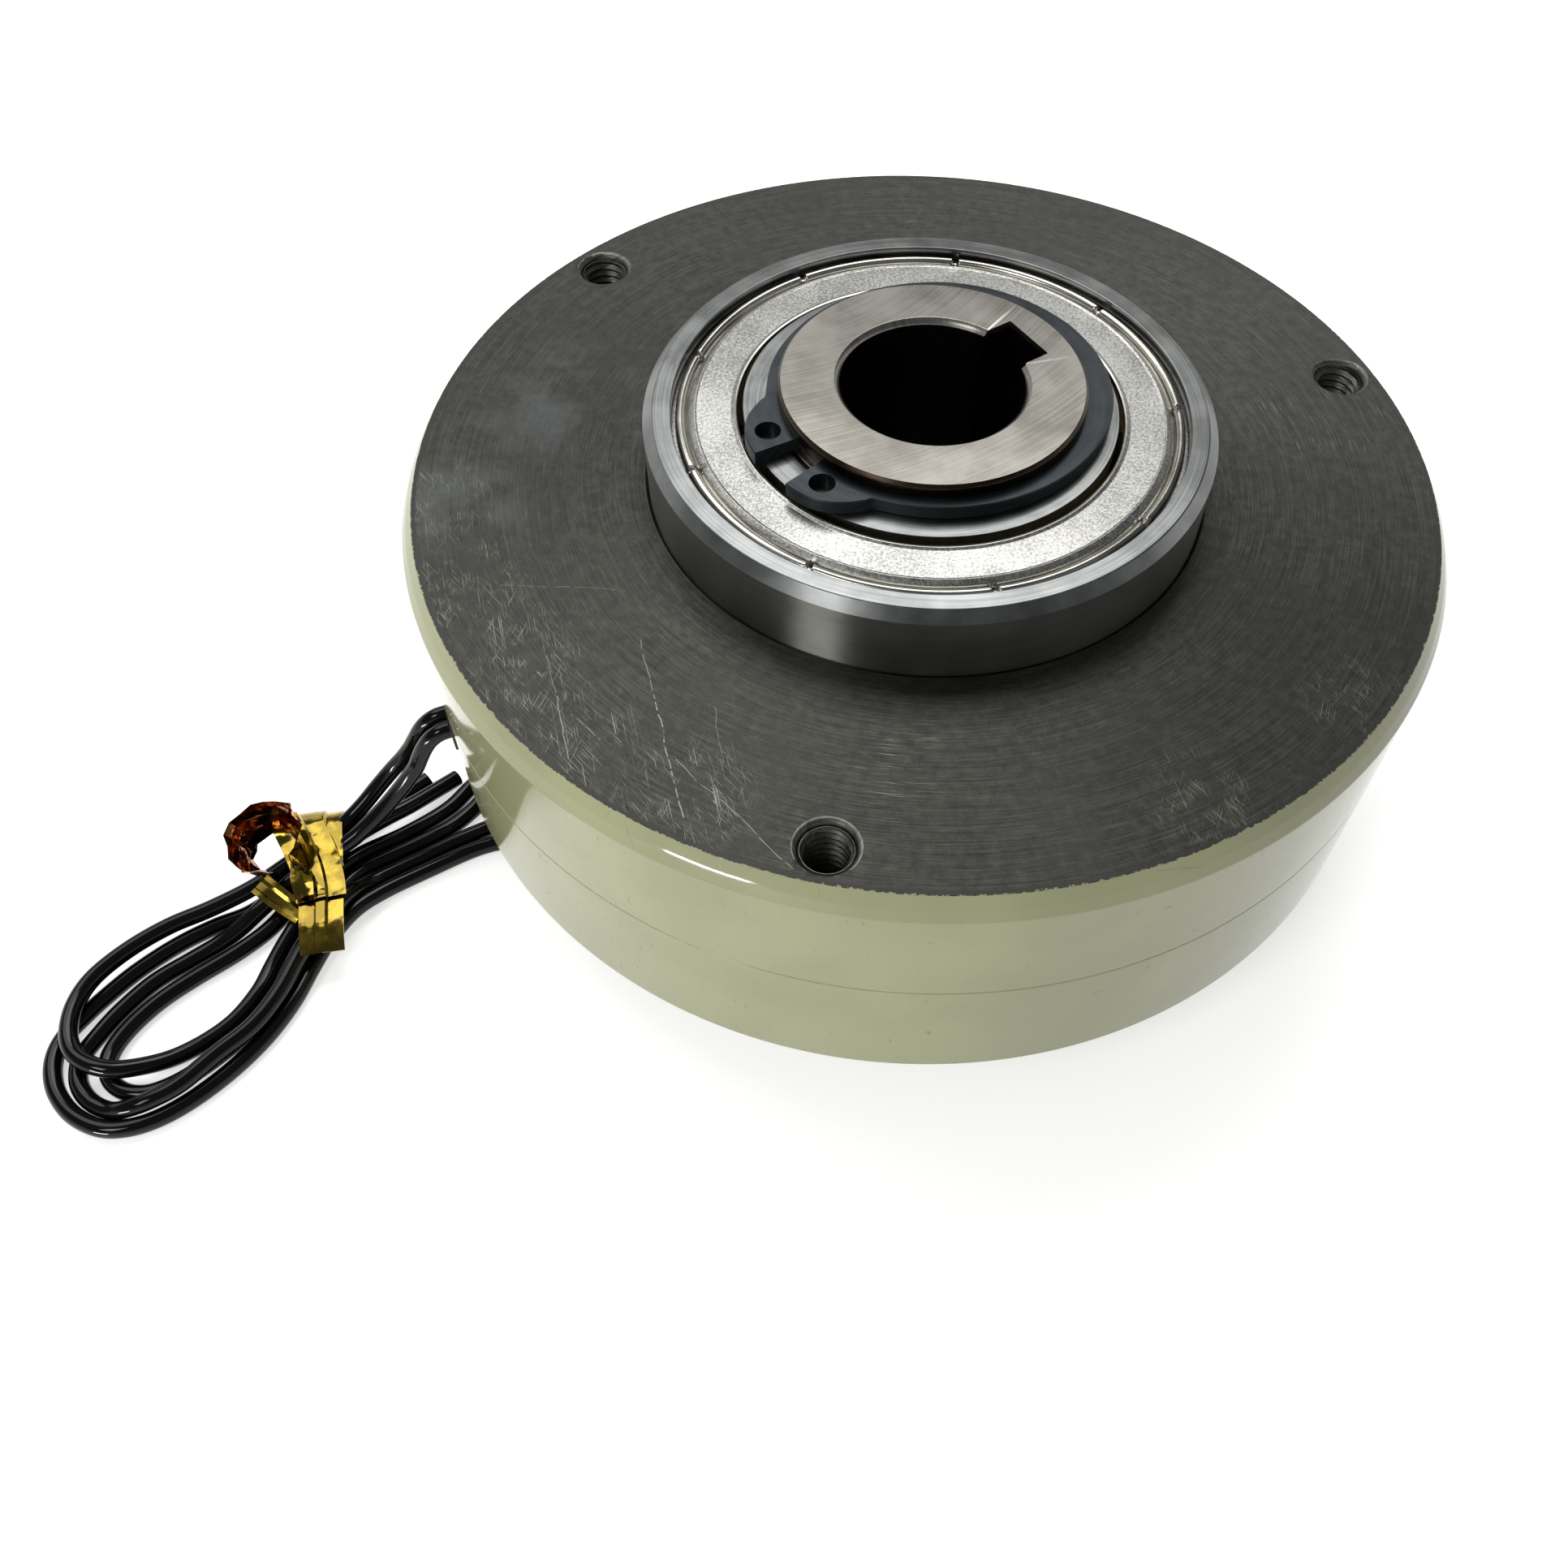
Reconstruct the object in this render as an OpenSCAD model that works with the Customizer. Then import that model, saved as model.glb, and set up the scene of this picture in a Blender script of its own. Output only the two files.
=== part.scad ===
// Magnetic powder brake with a hollow shaft, standing on its rear boss, shaft axis along +Z.
// The origin is on the shaft axis, in the plane of the rear boss.
// Radii add up from the shaft outwards and heights from the rear boss upwards, so the body is as
// wide and as high as the shaft, bearings, rotor, coil and screws inside it need.

/* [Housing] */
// Height of the front half, from the seam to the mounting face
front_h = 12.3; // [11:0.1:14]
// Width of the painted chamfer round the mounting face
rim_chamfer_w = 1.15; // [0.5:0.05:2]
// Height of the painted chamfer round the mounting face
rim_chamfer_h = 1.9; // [0.5:0.1:3]
// Break on the outer edges of the rear half and its boss
edge_break = 0.3; // [0.1:0.1:0.6]
// Wall of the rear boss round its bearing
boss_wall = 5; // [3.5:0.1:7]
// Height of the rear boss below the rim
boss_h = 8; // [6:0.5:10]
// Wall of the bearing housings inside the rotor drum
bearing_wall = 2.3; // [1.5:0.1:3]
// Thickness of the shoulders that the bearings are pressed against
shoulder_t = 1.5; // [1:0.1:2]
// Thickness of the housing behind the coil chamber, at the face
front_plate_t = 4.1; // [3.5:0.1:5]

/* [Mounting and assembly screws] */
// Number of mounting holes
mount_count = 3; // [3:1:6]
// Angle of the first mounting hole about the shaft
mount_angle = -90; // [-180:1:180]
// Bore of the mounting holes
mount_hole_d = 4; // [3:0.5:5]
// Depth of the mounting holes
mount_hole_depth = 9; // [6:0.5:10]
// Width of the countersink round each mounting hole
mount_sink_w = 0.55; // [0.2:0.05:1]
// Wall between the mounting holes and the coil chamber
mount_hole_wall = 0.5; // [0.4:0.05:1.5]
// Distance from the mounting holes' centres to the outside of the body
mount_edge = 4.25; // [3.8:0.05:6]
// Number of assembly screws
screw_count = 6; // [3:1:6]
// Thread diameter of the assembly screws
screw_d = 3; // [2.5:0.5:3]
// Length of the assembly screws in the front half
screw_grip = 4.5; // [3:0.5:6]
// Depth of the assembly screws' heads below the rim
head_sink = 0.2; // [0.1:0.05:0.5]
// Wall between the assembly screws' heads and the coil chamber
head_wall = 0.3; // [0.2:0.05:1]

/* [Shaft] */
// Diameter of the shaft at the bearings
shaft_d = 25; // [23:0.1:28]
// Diameter of the bore through the shaft
bore_d = 15; // [12:0.5:16]
// Chamfer at each end of the bore
bore_chamfer = 0.44; // [0.1:0.02:0.8]
// Width of the keyway
key_w = 5; // [3:0.5:6]
// Depth of the keyway beyond the bore
key_depth = 2.3; // [1:0.1:2.8]
// Angle of the keyway about the shaft
key_angle = 46; // [0:1:360]
// Length of the hub between the bearings
hub_length = 12.5; // [11:0.1:15]
// Radial width of the flange that carries the rotor
flange_w = 5.7; // [5:0.1:7]
// Thickness of the flange
flange_t = 3; // [2.5:0.1:3.5]
// Chamfer on the shaft's outer edges
shaft_chamfer = 0.25; // [0.1:0.05:0.5]
// Distance of the shaft's rear end from the plane of the rear boss
shaft_recess = 0.5; // [0.1:0.1:2]

/* [Retaining rings] */
// Thickness of each retaining ring
clip_t = 1.2; // [1:0.05:1.5]
// Play of a retaining ring along its groove
clip_play = 0.1; // [0.05:0.05:0.2]
// Depth of the grooves for the retaining rings
clip_groove_depth = 0.55; // [0.3:0.05:0.8]
// Radial width of a ring opposite its gap
clip_wide = 2.9; // [2:0.1:3.4]
// Radial width of a ring beside its lugs
clip_narrow = 1.5; // [1:0.1:2]
// Diameter of the plier holes
clip_hole_d = 2.1; // [1.5:0.1:2.3]
// Distance from the ring's bore to the centres of the plier holes
clip_hole_out = 2.1; // [1.8:0.05:2.4]
// Wall of the lugs round the plier holes
clip_lug_wall = 0.9; // [0.6:0.05:1.2]
// Angle between the plier holes
clip_hole_spread = 30; // [28:1:40]
// Width of a ring's gap
clip_gap = 3.1; // [1:0.1:3.5]
// Angle of the gap about the shaft
clip_angle = -132; // [-180:1:180]
// Length of the shaft beyond the front groove
front_collar = 1.1; // [0.6:0.1:3]
// Length of the shaft beyond the rear groove
rear_collar = 1.1; // [0.6:0.1:3]

/* [Bearings] */
// Outside diameter of the bearings
bearing_d = 47; // [44:0.1:52]
// Width of the bearings
bearing_w = 12; // [11:0.1:14]
// How far the front bearing stands out of the mounting face
bearing_proud = 6.4; // [5:0.1:7.5]
// Wall of an inner ring beside its ball track
inner_ring_t = 2.8; // [2.4:0.1:3.2]
// Wall of an outer ring beside its ball track
outer_ring_t = 3.3; // [2.9:0.1:3.8]
// Width of the recess for a shield in the outer ring
shield_recess_w = 1; // [0.8:0.05:1.3]
// Depth of the recess for a shield
shield_seat_depth = 1.5; // [1.3:0.05:1.8]
// Chamfer on the edges of the outer ring
outer_chamfer = 0.85; // [0.4:0.05:1.2]
// Chamfer on the edges of the inner ring
inner_chamfer = 0.4; // [0.2:0.05:0.8]
// Diameter of the balls
ball_d = 7; // [6:0.1:7.8]
// Number of balls
ball_count = 10; // [8:1:11]
// How far the balls' circle lies outside the middle between the rings
ball_circle_out = 0.25; // [0:0.05:0.4]
// Thickness of the shields
shield_t = 0.3; // [0.2:0.05:0.4]
// How far the shields lie below the ring faces
shield_sink = 0.4; // [0.3:0.05:0.6]
// Gap between a shield and the inner ring
shield_gap = 0.5; // [0.3:0.05:0.8]
// Gap between a shield's bead and the outer ring
bead_gap = 0.35; // [0.2:0.05:0.5]
// Width of the rolled bead round a shield
bead_w = 0.85; // [0.6:0.05:0.95]
// Width of the slope inside the bead
shield_slope_w = 0.8; // [0.6:0.05:1]
// Depth of the slope inside the bead
shield_slope_h = 0.3; // [0.1:0.05:0.5]
// Number of crimp marks in the bead
crimp_count = 9; // [6:1:12]
// Angle of the first crimp mark about the shaft
crimp_angle = 13.4; // [0:0.1:60]
// Width of a crimp mark
crimp_w = 0.6; // [0.4:0.1:1]
// Gap between a ball cage and the inner ring
cage_inner_gap = 0.9; // [0.7:0.1:1.4]
// Gap between a ball cage and the outer ring
cage_outer_gap = 0.7; // [0.5:0.1:1.1]
// Distance from a cage's back to the ring face
cage_sink = 1.4; // [1.2:0.1:1.6]
// How far a cage's fingers reach past the balls' centres
cage_reach = 1.5; // [1:0.1:2.5]

/* [Rotor and coil] */
// Clearance across the powder gap, from the drum to the poles
powder_gap = 0.5; // [0.4:0.05:0.8]
// Clearance between the drum and the bearing housings inside it
drum_gap = 0.6; // [0.4:0.05:1]
// Wall of the rotor drum
drum_wall = 3; // [2.5:0.1:4]
// Thickness of the rotor's web
web_t = 3; // [2.6:0.1:3.4]
// Clearance between the rotor's web and the shoulder above it
web_gap = 0.9; // [0.5:0.1:1.2]
// Number of rotor screws
rotor_screw_count = 6; // [3:1:6]
// Thread diameter of the rotor screws
rotor_screw_d = 3; // [2.5:0.1:3.2]
// Length of the rotor screws
rotor_screw_length = 5; // [4:0.1:5.8]
// Gap between the rotor screws' heads and the hub
rotor_screw_gap = 0.2; // [0.1:0.05:0.5]
// Radial thickness of the poles
pole_t = 2.1; // [1.8:0.1:2.5]
// Height of the non-magnetic ring between the poles
gap_ring_h = 6; // [4:0.5:8]
// How far the non-magnetic ring lies above the middle of the chamber
gap_ring_up = 0.3; // [0:0.1:0.6]
// Radial width of the coil chamber
coil_chamber_w = 5.5; // [4.8:0.1:7]
// Wall of the coil bobbin
bobbin_wall = 1; // [0.8:0.1:1.2]
// Clearance all round the bobbin
bobbin_clearance = 0.2; // [0.1:0.05:0.3]
// Depth of the winding below the edges of the bobbin
winding_sink = 0.3; // [0.1:0.1:0.8]
// Depth of the powder that has settled on the chamber floor
powder_depth = 0.3; // [0.1:0.05:0.35]
// Radial width of the felt seals in the shoulders
seal_w = 2.1; // [1.5:0.1:2.6]

/* [Leads] */
// Diameter of each lead
lead_d = 1.6; // [1.4:0.1:1.8]
// Gap between the two leads in the grommet
lead_gap = 0.3; // [0.2:0.05:0.6]
// Diameter of the grommet
grommet_d = 5.4; // [5:0.1:6]
// How far the grommet stands out of the body
grommet_proud = 0.15; // [0.05:0.05:0.5]
// Angle of the grommet about the shaft
lead_angle = -150.5; // [-160:0.5:-142]
// Height of the grommet above the rim
lead_up = 6; // [5:0.1:6.6]
// Height of the bundled leads
hank_h = 3.2; // [3:0.1:4]
// Thickness of the twist tie
tie_t = 0.35; // [0.2:0.05:0.5]
// Width of the twist tie's band
tie_w = 4.5; // [3:0.1:6]
// Outside diameter of the tie's curled end
tie_curl_d = 5.2; // [4:0.1:6]

/* [Fits] */
// Radial clearance drawn at pressed and clamped seats
seat_clear = 0.01; // [0.005:0.005:0.02]
// Radial clearance of the balls in their tracks
ball_clear = 0.03; // [0.01:0.01:0.06]
// How much larger the track's radius is than the ball's
track_open = 0.12; // [0.08:0.01:0.2]
// Clearance of the balls in the cage
pocket_clear = 0.12; // [0.05:0.01:0.2]
// Radial clearance of screws in plain holes
screw_clear = 0.1; // [0.05:0.05:0.2]
// Radial clearance drawn between a screw and its thread
thread_clear = 0.03; // [0.01:0.01:0.05]
// Radial clearance of the assembly screws' heads
head_clear = 0.15; // [0.05:0.05:0.3]
// Clearance between turning and fixed parts inside the brake
running_clear = 0.5; // [0.4:0.05:0.8]
// Radial clearance of the felt seals on the hub
seal_clear = 0.1; // [0.05:0.05:0.2]

/* [Hidden] */
$fn = 96;
eps = 0.01;

// Heights above the rear boss: shaft, bearings and face from the boss upwards
clip_groove_w = clip_t + clip_play;
shaft_low_z = shaft_recess;
rear_low_z = shaft_low_z + rear_collar + clip_groove_w;
rear_top_z = rear_low_z + bearing_w;
front_low_z = rear_top_z + hub_length;
front_top_z = front_low_z + bearing_w;
shaft_top_z = front_top_z + clip_groove_w + front_collar;
face_z = front_top_z - bearing_proud;
seam_z = face_z - front_h;
rim_z = boss_h;

// Heights of the screws between the halves, and of the chamber above their heads
screw_head_z = rim_z + head_sink;
screw_shank_z = screw_head_z + screw_d;
screw_end_z = seam_z + screw_grip;
chamber_low_z = screw_shank_z + head_wall;
chamber_top_z = face_z - front_plate_t;
gap_mid_z = (chamber_top_z + chamber_low_z) / 2 + gap_ring_up;

// Heights of the rotor: its web hangs below the front shoulder, and the flange below the web
web_top_z = front_low_z - shoulder_t - web_gap;
web_z = web_top_z - web_t;
flange_z = web_z - flange_t;
drum_top_z = chamber_top_z - running_clear;
drum_low_z = chamber_low_z + running_clear;

// Radii from the shaft axis outwards
bore_r = bore_d / 2;
shaft_r = shaft_d / 2;
groove_r = shaft_r - clip_groove_depth;
hub_r = shaft_r + inner_ring_t;
flange_r = hub_r + flange_w;
seal_r = hub_r + seal_clear + seal_w;
bearing_r = bearing_d / 2;
land_r = bearing_r - outer_ring_t;
recess_r = land_r + shield_recess_w;
housing_r = bearing_r + bearing_wall;
boss_r = bearing_r + boss_wall;
drum_in_r = housing_r + drum_gap;
drum_r = drum_in_r + drum_wall;
pole_r = drum_r + powder_gap;
coil_r = pole_r + pole_t;
chamber_r = coil_r + coil_chamber_w;
hole_r = chamber_r + mount_hole_wall + mount_hole_d / 2;
body_r = hole_r + mount_edge;

// Balls, their tracks and the rotor screws
ball_r = ball_d / 2;
ball_circle_r = (hub_r + land_r) / 2 + ball_circle_out;
track_r = ball_r + track_open;
track_shift = track_r - ball_r - ball_clear;
rotor_screw_r = rotor_screw_d / 2;
rotor_head_r = rotor_screw_r * 1.8;
rotor_hole_r = hub_r + rotor_head_r + rotor_screw_gap;

// Screws between the halves: a cap head as wide as usual for its thread
screw_r = screw_d / 2;
head_r = screw_r * 11 / 6;

// The assembly screws stand half a step away from the mounting holes, whatever the two counts are
function common(a, b) = b == 0 ? a : common(b, a % b);
screw_angle = mount_angle + 180 * common(mount_count, screw_count) / (mount_count * screw_count);

steel = "silver";
dark_steel = "dimgray";
paint = [0.63, 0.64, 0.53];
black = [0.12, 0.12, 0.13];

module ring(r_in, r_out, z, h) {
    translate([0, 0, z]) difference() {
        cylinder(h = h, r = r_out);
        translate([0, 0, -1]) cylinder(h = h + 2, r = r_in);
    }
}

module around(count, radius, start = 0) {
    for (i = [0 : count - 1])
        rotate([0, 0, start + i * 360 / count]) translate([radius, 0, 0]) children();
}

// Stator: two half shells that meet at the seam and close round the coil

module front_stator_half() {
    color(paint) difference() {
        rotate_extrude() polygon([
            [bearing_r + seat_clear, face_z], [bearing_r + seat_clear, front_low_z],
            [seal_r + seat_clear, front_low_z], [seal_r + seat_clear, front_low_z - shoulder_t],
            [housing_r, front_low_z - shoulder_t], [housing_r, chamber_top_z],
            [pole_r, chamber_top_z], [pole_r, gap_mid_z + gap_ring_h / 2],
            [coil_r, gap_mid_z + gap_ring_h / 2], [coil_r, chamber_top_z],
            [chamber_r, chamber_top_z], [chamber_r, seam_z], [body_r, seam_z],
            [body_r, face_z - rim_chamfer_h], [body_r - rim_chamfer_w, face_z]
        ]);
        around(mount_count, hole_r, mount_angle) {
            translate([0, 0, face_z - mount_hole_depth])
                cylinder(h = mount_hole_depth + 1, d = mount_hole_d, $fn = 48);
            translate([0, 0, face_z - mount_sink_w])
                cylinder(h = mount_sink_w + eps, d1 = mount_hole_d,
                    d2 = mount_hole_d + 2 * (mount_sink_w + eps), $fn = 48);
        }
        around(screw_count, hole_r, screw_angle) translate([0, 0, seam_z - 1])
            cylinder(h = screw_grip + 2, r = screw_r + thread_clear, $fn = 48);
    }
}

module rear_stator_half() {
    color(paint) difference() {
        rotate_extrude() polygon([
            [bearing_r + seat_clear, 0], [bearing_r + seat_clear, rear_top_z],
            [seal_r + seat_clear, rear_top_z], [seal_r + seat_clear, rear_top_z + shoulder_t],
            [housing_r, rear_top_z + shoulder_t], [housing_r, chamber_low_z],
            [pole_r, chamber_low_z], [pole_r, gap_mid_z - gap_ring_h / 2],
            [coil_r, gap_mid_z - gap_ring_h / 2], [coil_r, chamber_low_z],
            [chamber_r, chamber_low_z], [chamber_r, seam_z], [body_r, seam_z],
            [body_r, rim_z + edge_break], [body_r - edge_break, rim_z], [boss_r, rim_z],
            [boss_r, edge_break], [boss_r - edge_break, 0]
        ]);
        around(screw_count, hole_r, screw_angle) {
            translate([0, 0, rim_z - 1])
                cylinder(h = screw_shank_z - rim_z + 1, r = head_r + head_clear, $fn = 48);
            translate([0, 0, rim_z])
                cylinder(h = seam_z - rim_z + 1, r = screw_r + screw_clear, $fn = 48);
        }
        lead_place() translate([0, 0, chamber_r - 1])
            cylinder(h = body_r - chamber_r + 2, d = grommet_d + 2 * seat_clear, $fn = 48);
    }
}

module gap_ring() {
    color("goldenrod")
        ring(pole_r, coil_r, gap_mid_z - gap_ring_h / 2, gap_ring_h);
}

// The bobbin fills the coil chamber but for its clearance
bobbin_low_z = chamber_low_z + bobbin_clearance;
bobbin_high_z = chamber_top_z - bobbin_clearance;
bobbin_in_r = coil_r + bobbin_clearance / 2;
bobbin_out_r = chamber_r - bobbin_clearance;
winding_r = bobbin_out_r - winding_sink;

module coil_bobbin() {
    color("ivory") rotate_extrude() polygon([
        [bobbin_in_r, bobbin_low_z], [bobbin_out_r, bobbin_low_z],
        [bobbin_out_r, bobbin_low_z + bobbin_wall], [bobbin_in_r + bobbin_wall, bobbin_low_z + bobbin_wall],
        [bobbin_in_r + bobbin_wall, bobbin_high_z - bobbin_wall], [bobbin_out_r, bobbin_high_z - bobbin_wall],
        [bobbin_out_r, bobbin_high_z], [bobbin_in_r, bobbin_high_z]
    ]);
}

module coil_winding() {
    color("chocolate") ring(bobbin_in_r + bobbin_wall, winding_r, bobbin_low_z + bobbin_wall,
        bobbin_high_z - bobbin_low_z - 2 * bobbin_wall);
}

module housing_screws() {
    color(dark_steel) around(screw_count, hole_r, screw_angle) difference() {
        union() {
            translate([0, 0, screw_head_z]) cylinder(h = screw_d, r = head_r, $fn = 48);
            translate([0, 0, screw_shank_z - eps])
                cylinder(h = screw_end_z - screw_shank_z + eps, r = screw_r, $fn = 48);
        }
        translate([0, 0, screw_head_z - 1]) cylinder(h = screw_d / 2 + 1, d = screw_d * 0.96, $fn = 6);
    }
}

module powder_charge() {
    color("gray") ring(housing_r, pole_r, chamber_low_z, powder_depth);
}

module powder_seal(z) {
    color("tan") ring(hub_r + seal_clear, seal_r, z, shoulder_t);
}

module front_powder_seal() {
    powder_seal(front_low_z - shoulder_t);
}

module rear_powder_seal() {
    powder_seal(rear_top_z);
}

// Bearings: drawn about their own centre, then placed

half_w = bearing_w / 2;
front_bearing_z = front_low_z + half_w;
rear_bearing_z = rear_low_z + half_w;

// Seat of a shield: its rim snaps into a shallow groove below a small lip of the outer ring
seat_z = half_w - shield_seat_depth;
rim_top_z = seat_z + shield_t;
rim_groove = 0.25;
rim_lip = 0.3;

// Right half of the outer ring's section, from the seat of one shield to the other
function outer_ring_side(s) = [
    [land_r, s * seat_z],
    [recess_r + rim_groove, s * seat_z],
    [recess_r + rim_groove, s * (rim_top_z + seat_clear)],
    [recess_r, s * (rim_top_z + rim_lip)],
    [recess_r, s * half_w],
    [bearing_r - outer_chamfer, s * half_w],
    [bearing_r, s * (half_w - outer_chamfer)]
];

function backwards(list) = [for (i = [len(list) - 1 : -1 : 0]) list[i]];

module outer_ring(z) {
    color(steel) translate([0, 0, z]) difference() {
        rotate_extrude() polygon(concat(outer_ring_side(1), backwards(outer_ring_side(-1))));
        rotate_extrude() translate([ball_circle_r - track_shift, 0]) circle(r = track_r);
    }
}

module inner_ring(z) {
    in_r = shaft_r + seat_clear;
    c = inner_chamfer;
    color(steel) translate([0, 0, z]) difference() {
        rotate_extrude() polygon([
            [in_r, -half_w + c], [in_r + c, -half_w], [hub_r - c, -half_w], [hub_r, -half_w + c],
            [hub_r, half_w - c], [hub_r - c, half_w], [in_r + c, half_w], [in_r, half_w - c]
        ]);
        rotate_extrude() translate([ball_circle_r + track_shift, 0]) circle(r = track_r);
    }
}

ball_angle = 12;

module balls(z) {
    color(steel) translate([0, 0, z]) around(ball_count, ball_circle_r, ball_angle) sphere(r = ball_r);
}

// Crown cage: a closed ring above the balls, with a snap pocket round each ball
module cage(z) {
    color("burlywood") translate([0, 0, z]) difference() {
        ring(hub_r + cage_inner_gap, land_r - cage_outer_gap, -cage_reach, cage_reach + half_w - cage_sink);
        around(ball_count, ball_circle_r, ball_angle) sphere(r = ball_r + pocket_clear);
    }
}

// Pressed shield: lip at its hole, flat, slope, rolled bead with crimp marks, and the rim in its groove
module shield(z) {
    lip = 0.15;
    bead_up = 0.15;
    top_z = half_w - shield_sink;
    slope_z = top_z - shield_slope_h;
    lip_r = hub_r + shield_gap;
    rim_r = recess_r + rim_groove - 0.05;
    bead_out_r = recess_r - bead_gap;
    bead_in_r = bead_out_r - bead_w;
    bead_mid_r = bead_out_r - bead_w / 2;
    bead_z = seat_z + bead_up + bead_w / 2;
    slope_r = bead_in_r - shield_slope_w;
    slope_end_r = bead_in_r - shield_slope_w * 0.3;
    color("lightgray") translate([0, 0, z]) difference() {
        union() {
            rotate_extrude() polygon([
                [lip_r, top_z - lip], [lip_r + lip, top_z], [slope_r, top_z], [slope_end_r, slope_z],
                [bead_in_r, slope_z], [bead_mid_r, bead_z], [bead_out_r, rim_top_z + 0.1],
                [bead_out_r, rim_top_z], [rim_r, rim_top_z], [rim_r, seat_z + seat_clear],
                [bead_in_r, seat_z + seat_clear], [bead_in_r - shield_t, slope_z - shield_t],
                [slope_end_r - 0.1, slope_z - shield_t], [slope_r - 0.1, top_z - shield_t],
                [lip_r, top_z - shield_t - lip]
            ]);
            rotate_extrude() translate([bead_mid_r, bead_z]) circle(d = bead_w, $fn = 24);
        }
        around(crimp_count, bead_mid_r, crimp_angle) translate([0, 0, bead_z + bead_w / 2])
            rotate([0, 90, 0]) cylinder(h = bead_w * 2, d = crimp_w, center = true, $fn = 24);
    }
}

// Turns a piece drawn on a bearing's upper side to its lower side
module lower_side(z) {
    translate([0, 0, z]) rotate([180, 0, 0]) children();
}

module front_outer_ring() {
    outer_ring(front_bearing_z);
}

module front_inner_ring() {
    inner_ring(front_bearing_z);
}

module front_balls() {
    balls(front_bearing_z);
}

module front_cage() {
    cage(front_bearing_z);
}

module front_outer_shield() {
    shield(front_bearing_z);
}

module front_inner_shield() {
    lower_side(front_bearing_z) shield(0);
}

module rear_outer_ring() {
    outer_ring(rear_bearing_z);
}

module rear_inner_ring() {
    inner_ring(rear_bearing_z);
}

module rear_balls() {
    lower_side(rear_bearing_z) balls(0);
}

module rear_cage() {
    lower_side(rear_bearing_z) cage(0);
}

module rear_outer_shield() {
    lower_side(rear_bearing_z) shield(0);
}

module rear_inner_shield() {
    shield(rear_bearing_z);
}

// Rotor: hollow shaft with a flange, the drum screwed on it, and the rings that clamp the bearings

module hollow_shaft() {
    c = shaft_chamfer;
    color(steel) difference() {
        rotate_extrude() polygon([
            [bore_r + bore_chamfer, shaft_low_z], [shaft_r - c, shaft_low_z], [shaft_r, shaft_low_z + c],
            [shaft_r, rear_low_z - clip_groove_w], [groove_r, rear_low_z - clip_groove_w],
            [groove_r, rear_low_z], [shaft_r, rear_low_z], [shaft_r, rear_top_z], [hub_r, rear_top_z],
            [hub_r, flange_z], [flange_r, flange_z], [flange_r, web_z], [hub_r, web_z],
            [hub_r, front_low_z], [shaft_r, front_low_z], [shaft_r, front_top_z],
            [groove_r, front_top_z], [groove_r, front_top_z + clip_groove_w],
            [shaft_r, front_top_z + clip_groove_w], [shaft_r, shaft_top_z - c],
            [shaft_r - c, shaft_top_z], [bore_r + bore_chamfer, shaft_top_z],
            [bore_r, shaft_top_z - bore_chamfer], [bore_r, shaft_low_z + bore_chamfer]
        ]);
        rotate([0, 0, key_angle]) translate([0, -key_w / 2, shaft_low_z - 1])
            cube([bore_r + key_depth, key_w, shaft_top_z - shaft_low_z + 2]);
        around(rotor_screw_count, rotor_hole_r) translate([0, 0, flange_z - 1])
            cylinder(h = flange_t + 2, r = rotor_screw_r + thread_clear, $fn = 48);
    }
}

rotor_head_h = rotor_head_r - rotor_screw_r;

module rotor_drum() {
    in_r = hub_r + screw_clear;
    color(dark_steel) difference() {
        rotate_extrude() polygon([
            [in_r, web_z], [drum_in_r, web_z], [drum_in_r, drum_low_z], [drum_r, drum_low_z],
            [drum_r, drum_top_z], [drum_in_r, drum_top_z], [drum_in_r, web_top_z], [in_r, web_top_z]
        ]);
        around(rotor_screw_count, rotor_hole_r) {
            translate([0, 0, web_z - 1]) cylinder(h = web_t + 2, r = rotor_screw_r + screw_clear, $fn = 48);
            translate([0, 0, web_top_z - rotor_head_h - screw_clear])
                cylinder(h = rotor_head_h + screw_clear + eps, r1 = rotor_screw_r + screw_clear,
                    r2 = rotor_head_r + 2 * screw_clear + eps, $fn = 48);
        }
    }
}

module rotor_screws() {
    color(dark_steel) around(rotor_screw_count, rotor_hole_r) difference() {
        union() {
            translate([0, 0, web_top_z - rotor_screw_length])
                cylinder(h = rotor_screw_length - rotor_head_h + eps, r = rotor_screw_r, $fn = 48);
            translate([0, 0, web_top_z - rotor_head_h])
                cylinder(h = rotor_head_h, r1 = rotor_screw_r, r2 = rotor_head_r, $fn = 48);
        }
        translate([0, 0, web_top_z - 1]) cylinder(h = 2, d = rotor_screw_d * 0.75, $fn = 6);
    }
}

// Retaining ring: its outer edge is set off from the shaft, so that it is widest opposite the gap
module circlip(z) {
    in_r = groove_r + seat_clear;
    outer_r = in_r + (clip_wide + clip_narrow) / 2;
    shift = (clip_wide - clip_narrow) / 2;
    lug_r = in_r + clip_hole_out;
    lug_half = clip_hole_d / 2 + clip_lug_wall;
    block_r = lug_r + lug_half * 0.94;
    color([0.25, 0.27, 0.3]) translate([0, 0, z]) rotate([0, 0, clip_angle]) difference() {
        union() {
            translate([-shift, 0, 0]) cylinder(h = clip_t, r = outer_r);
            for (side = [-1, 1]) rotate([0, 0, side * clip_hole_spread / 2]) translate([lug_r, 0, 0])
                cylinder(h = clip_t, r = lug_half, $fn = 48);
            translate([in_r, -clip_gap, 0]) cube([block_r - in_r, 2 * clip_gap, clip_t]);
        }
        translate([0, 0, -1]) cylinder(h = clip_t + 2, r = in_r);
        translate([0, -clip_gap / 2, -1]) cube([2 * outer_r, clip_gap, clip_t + 2]);
        for (side = [-1, 1]) rotate([0, 0, side * clip_hole_spread / 2]) translate([lug_r, 0, -1])
            cylinder(h = clip_t + 2, d = clip_hole_d, $fn = 48);
    }
}

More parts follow.
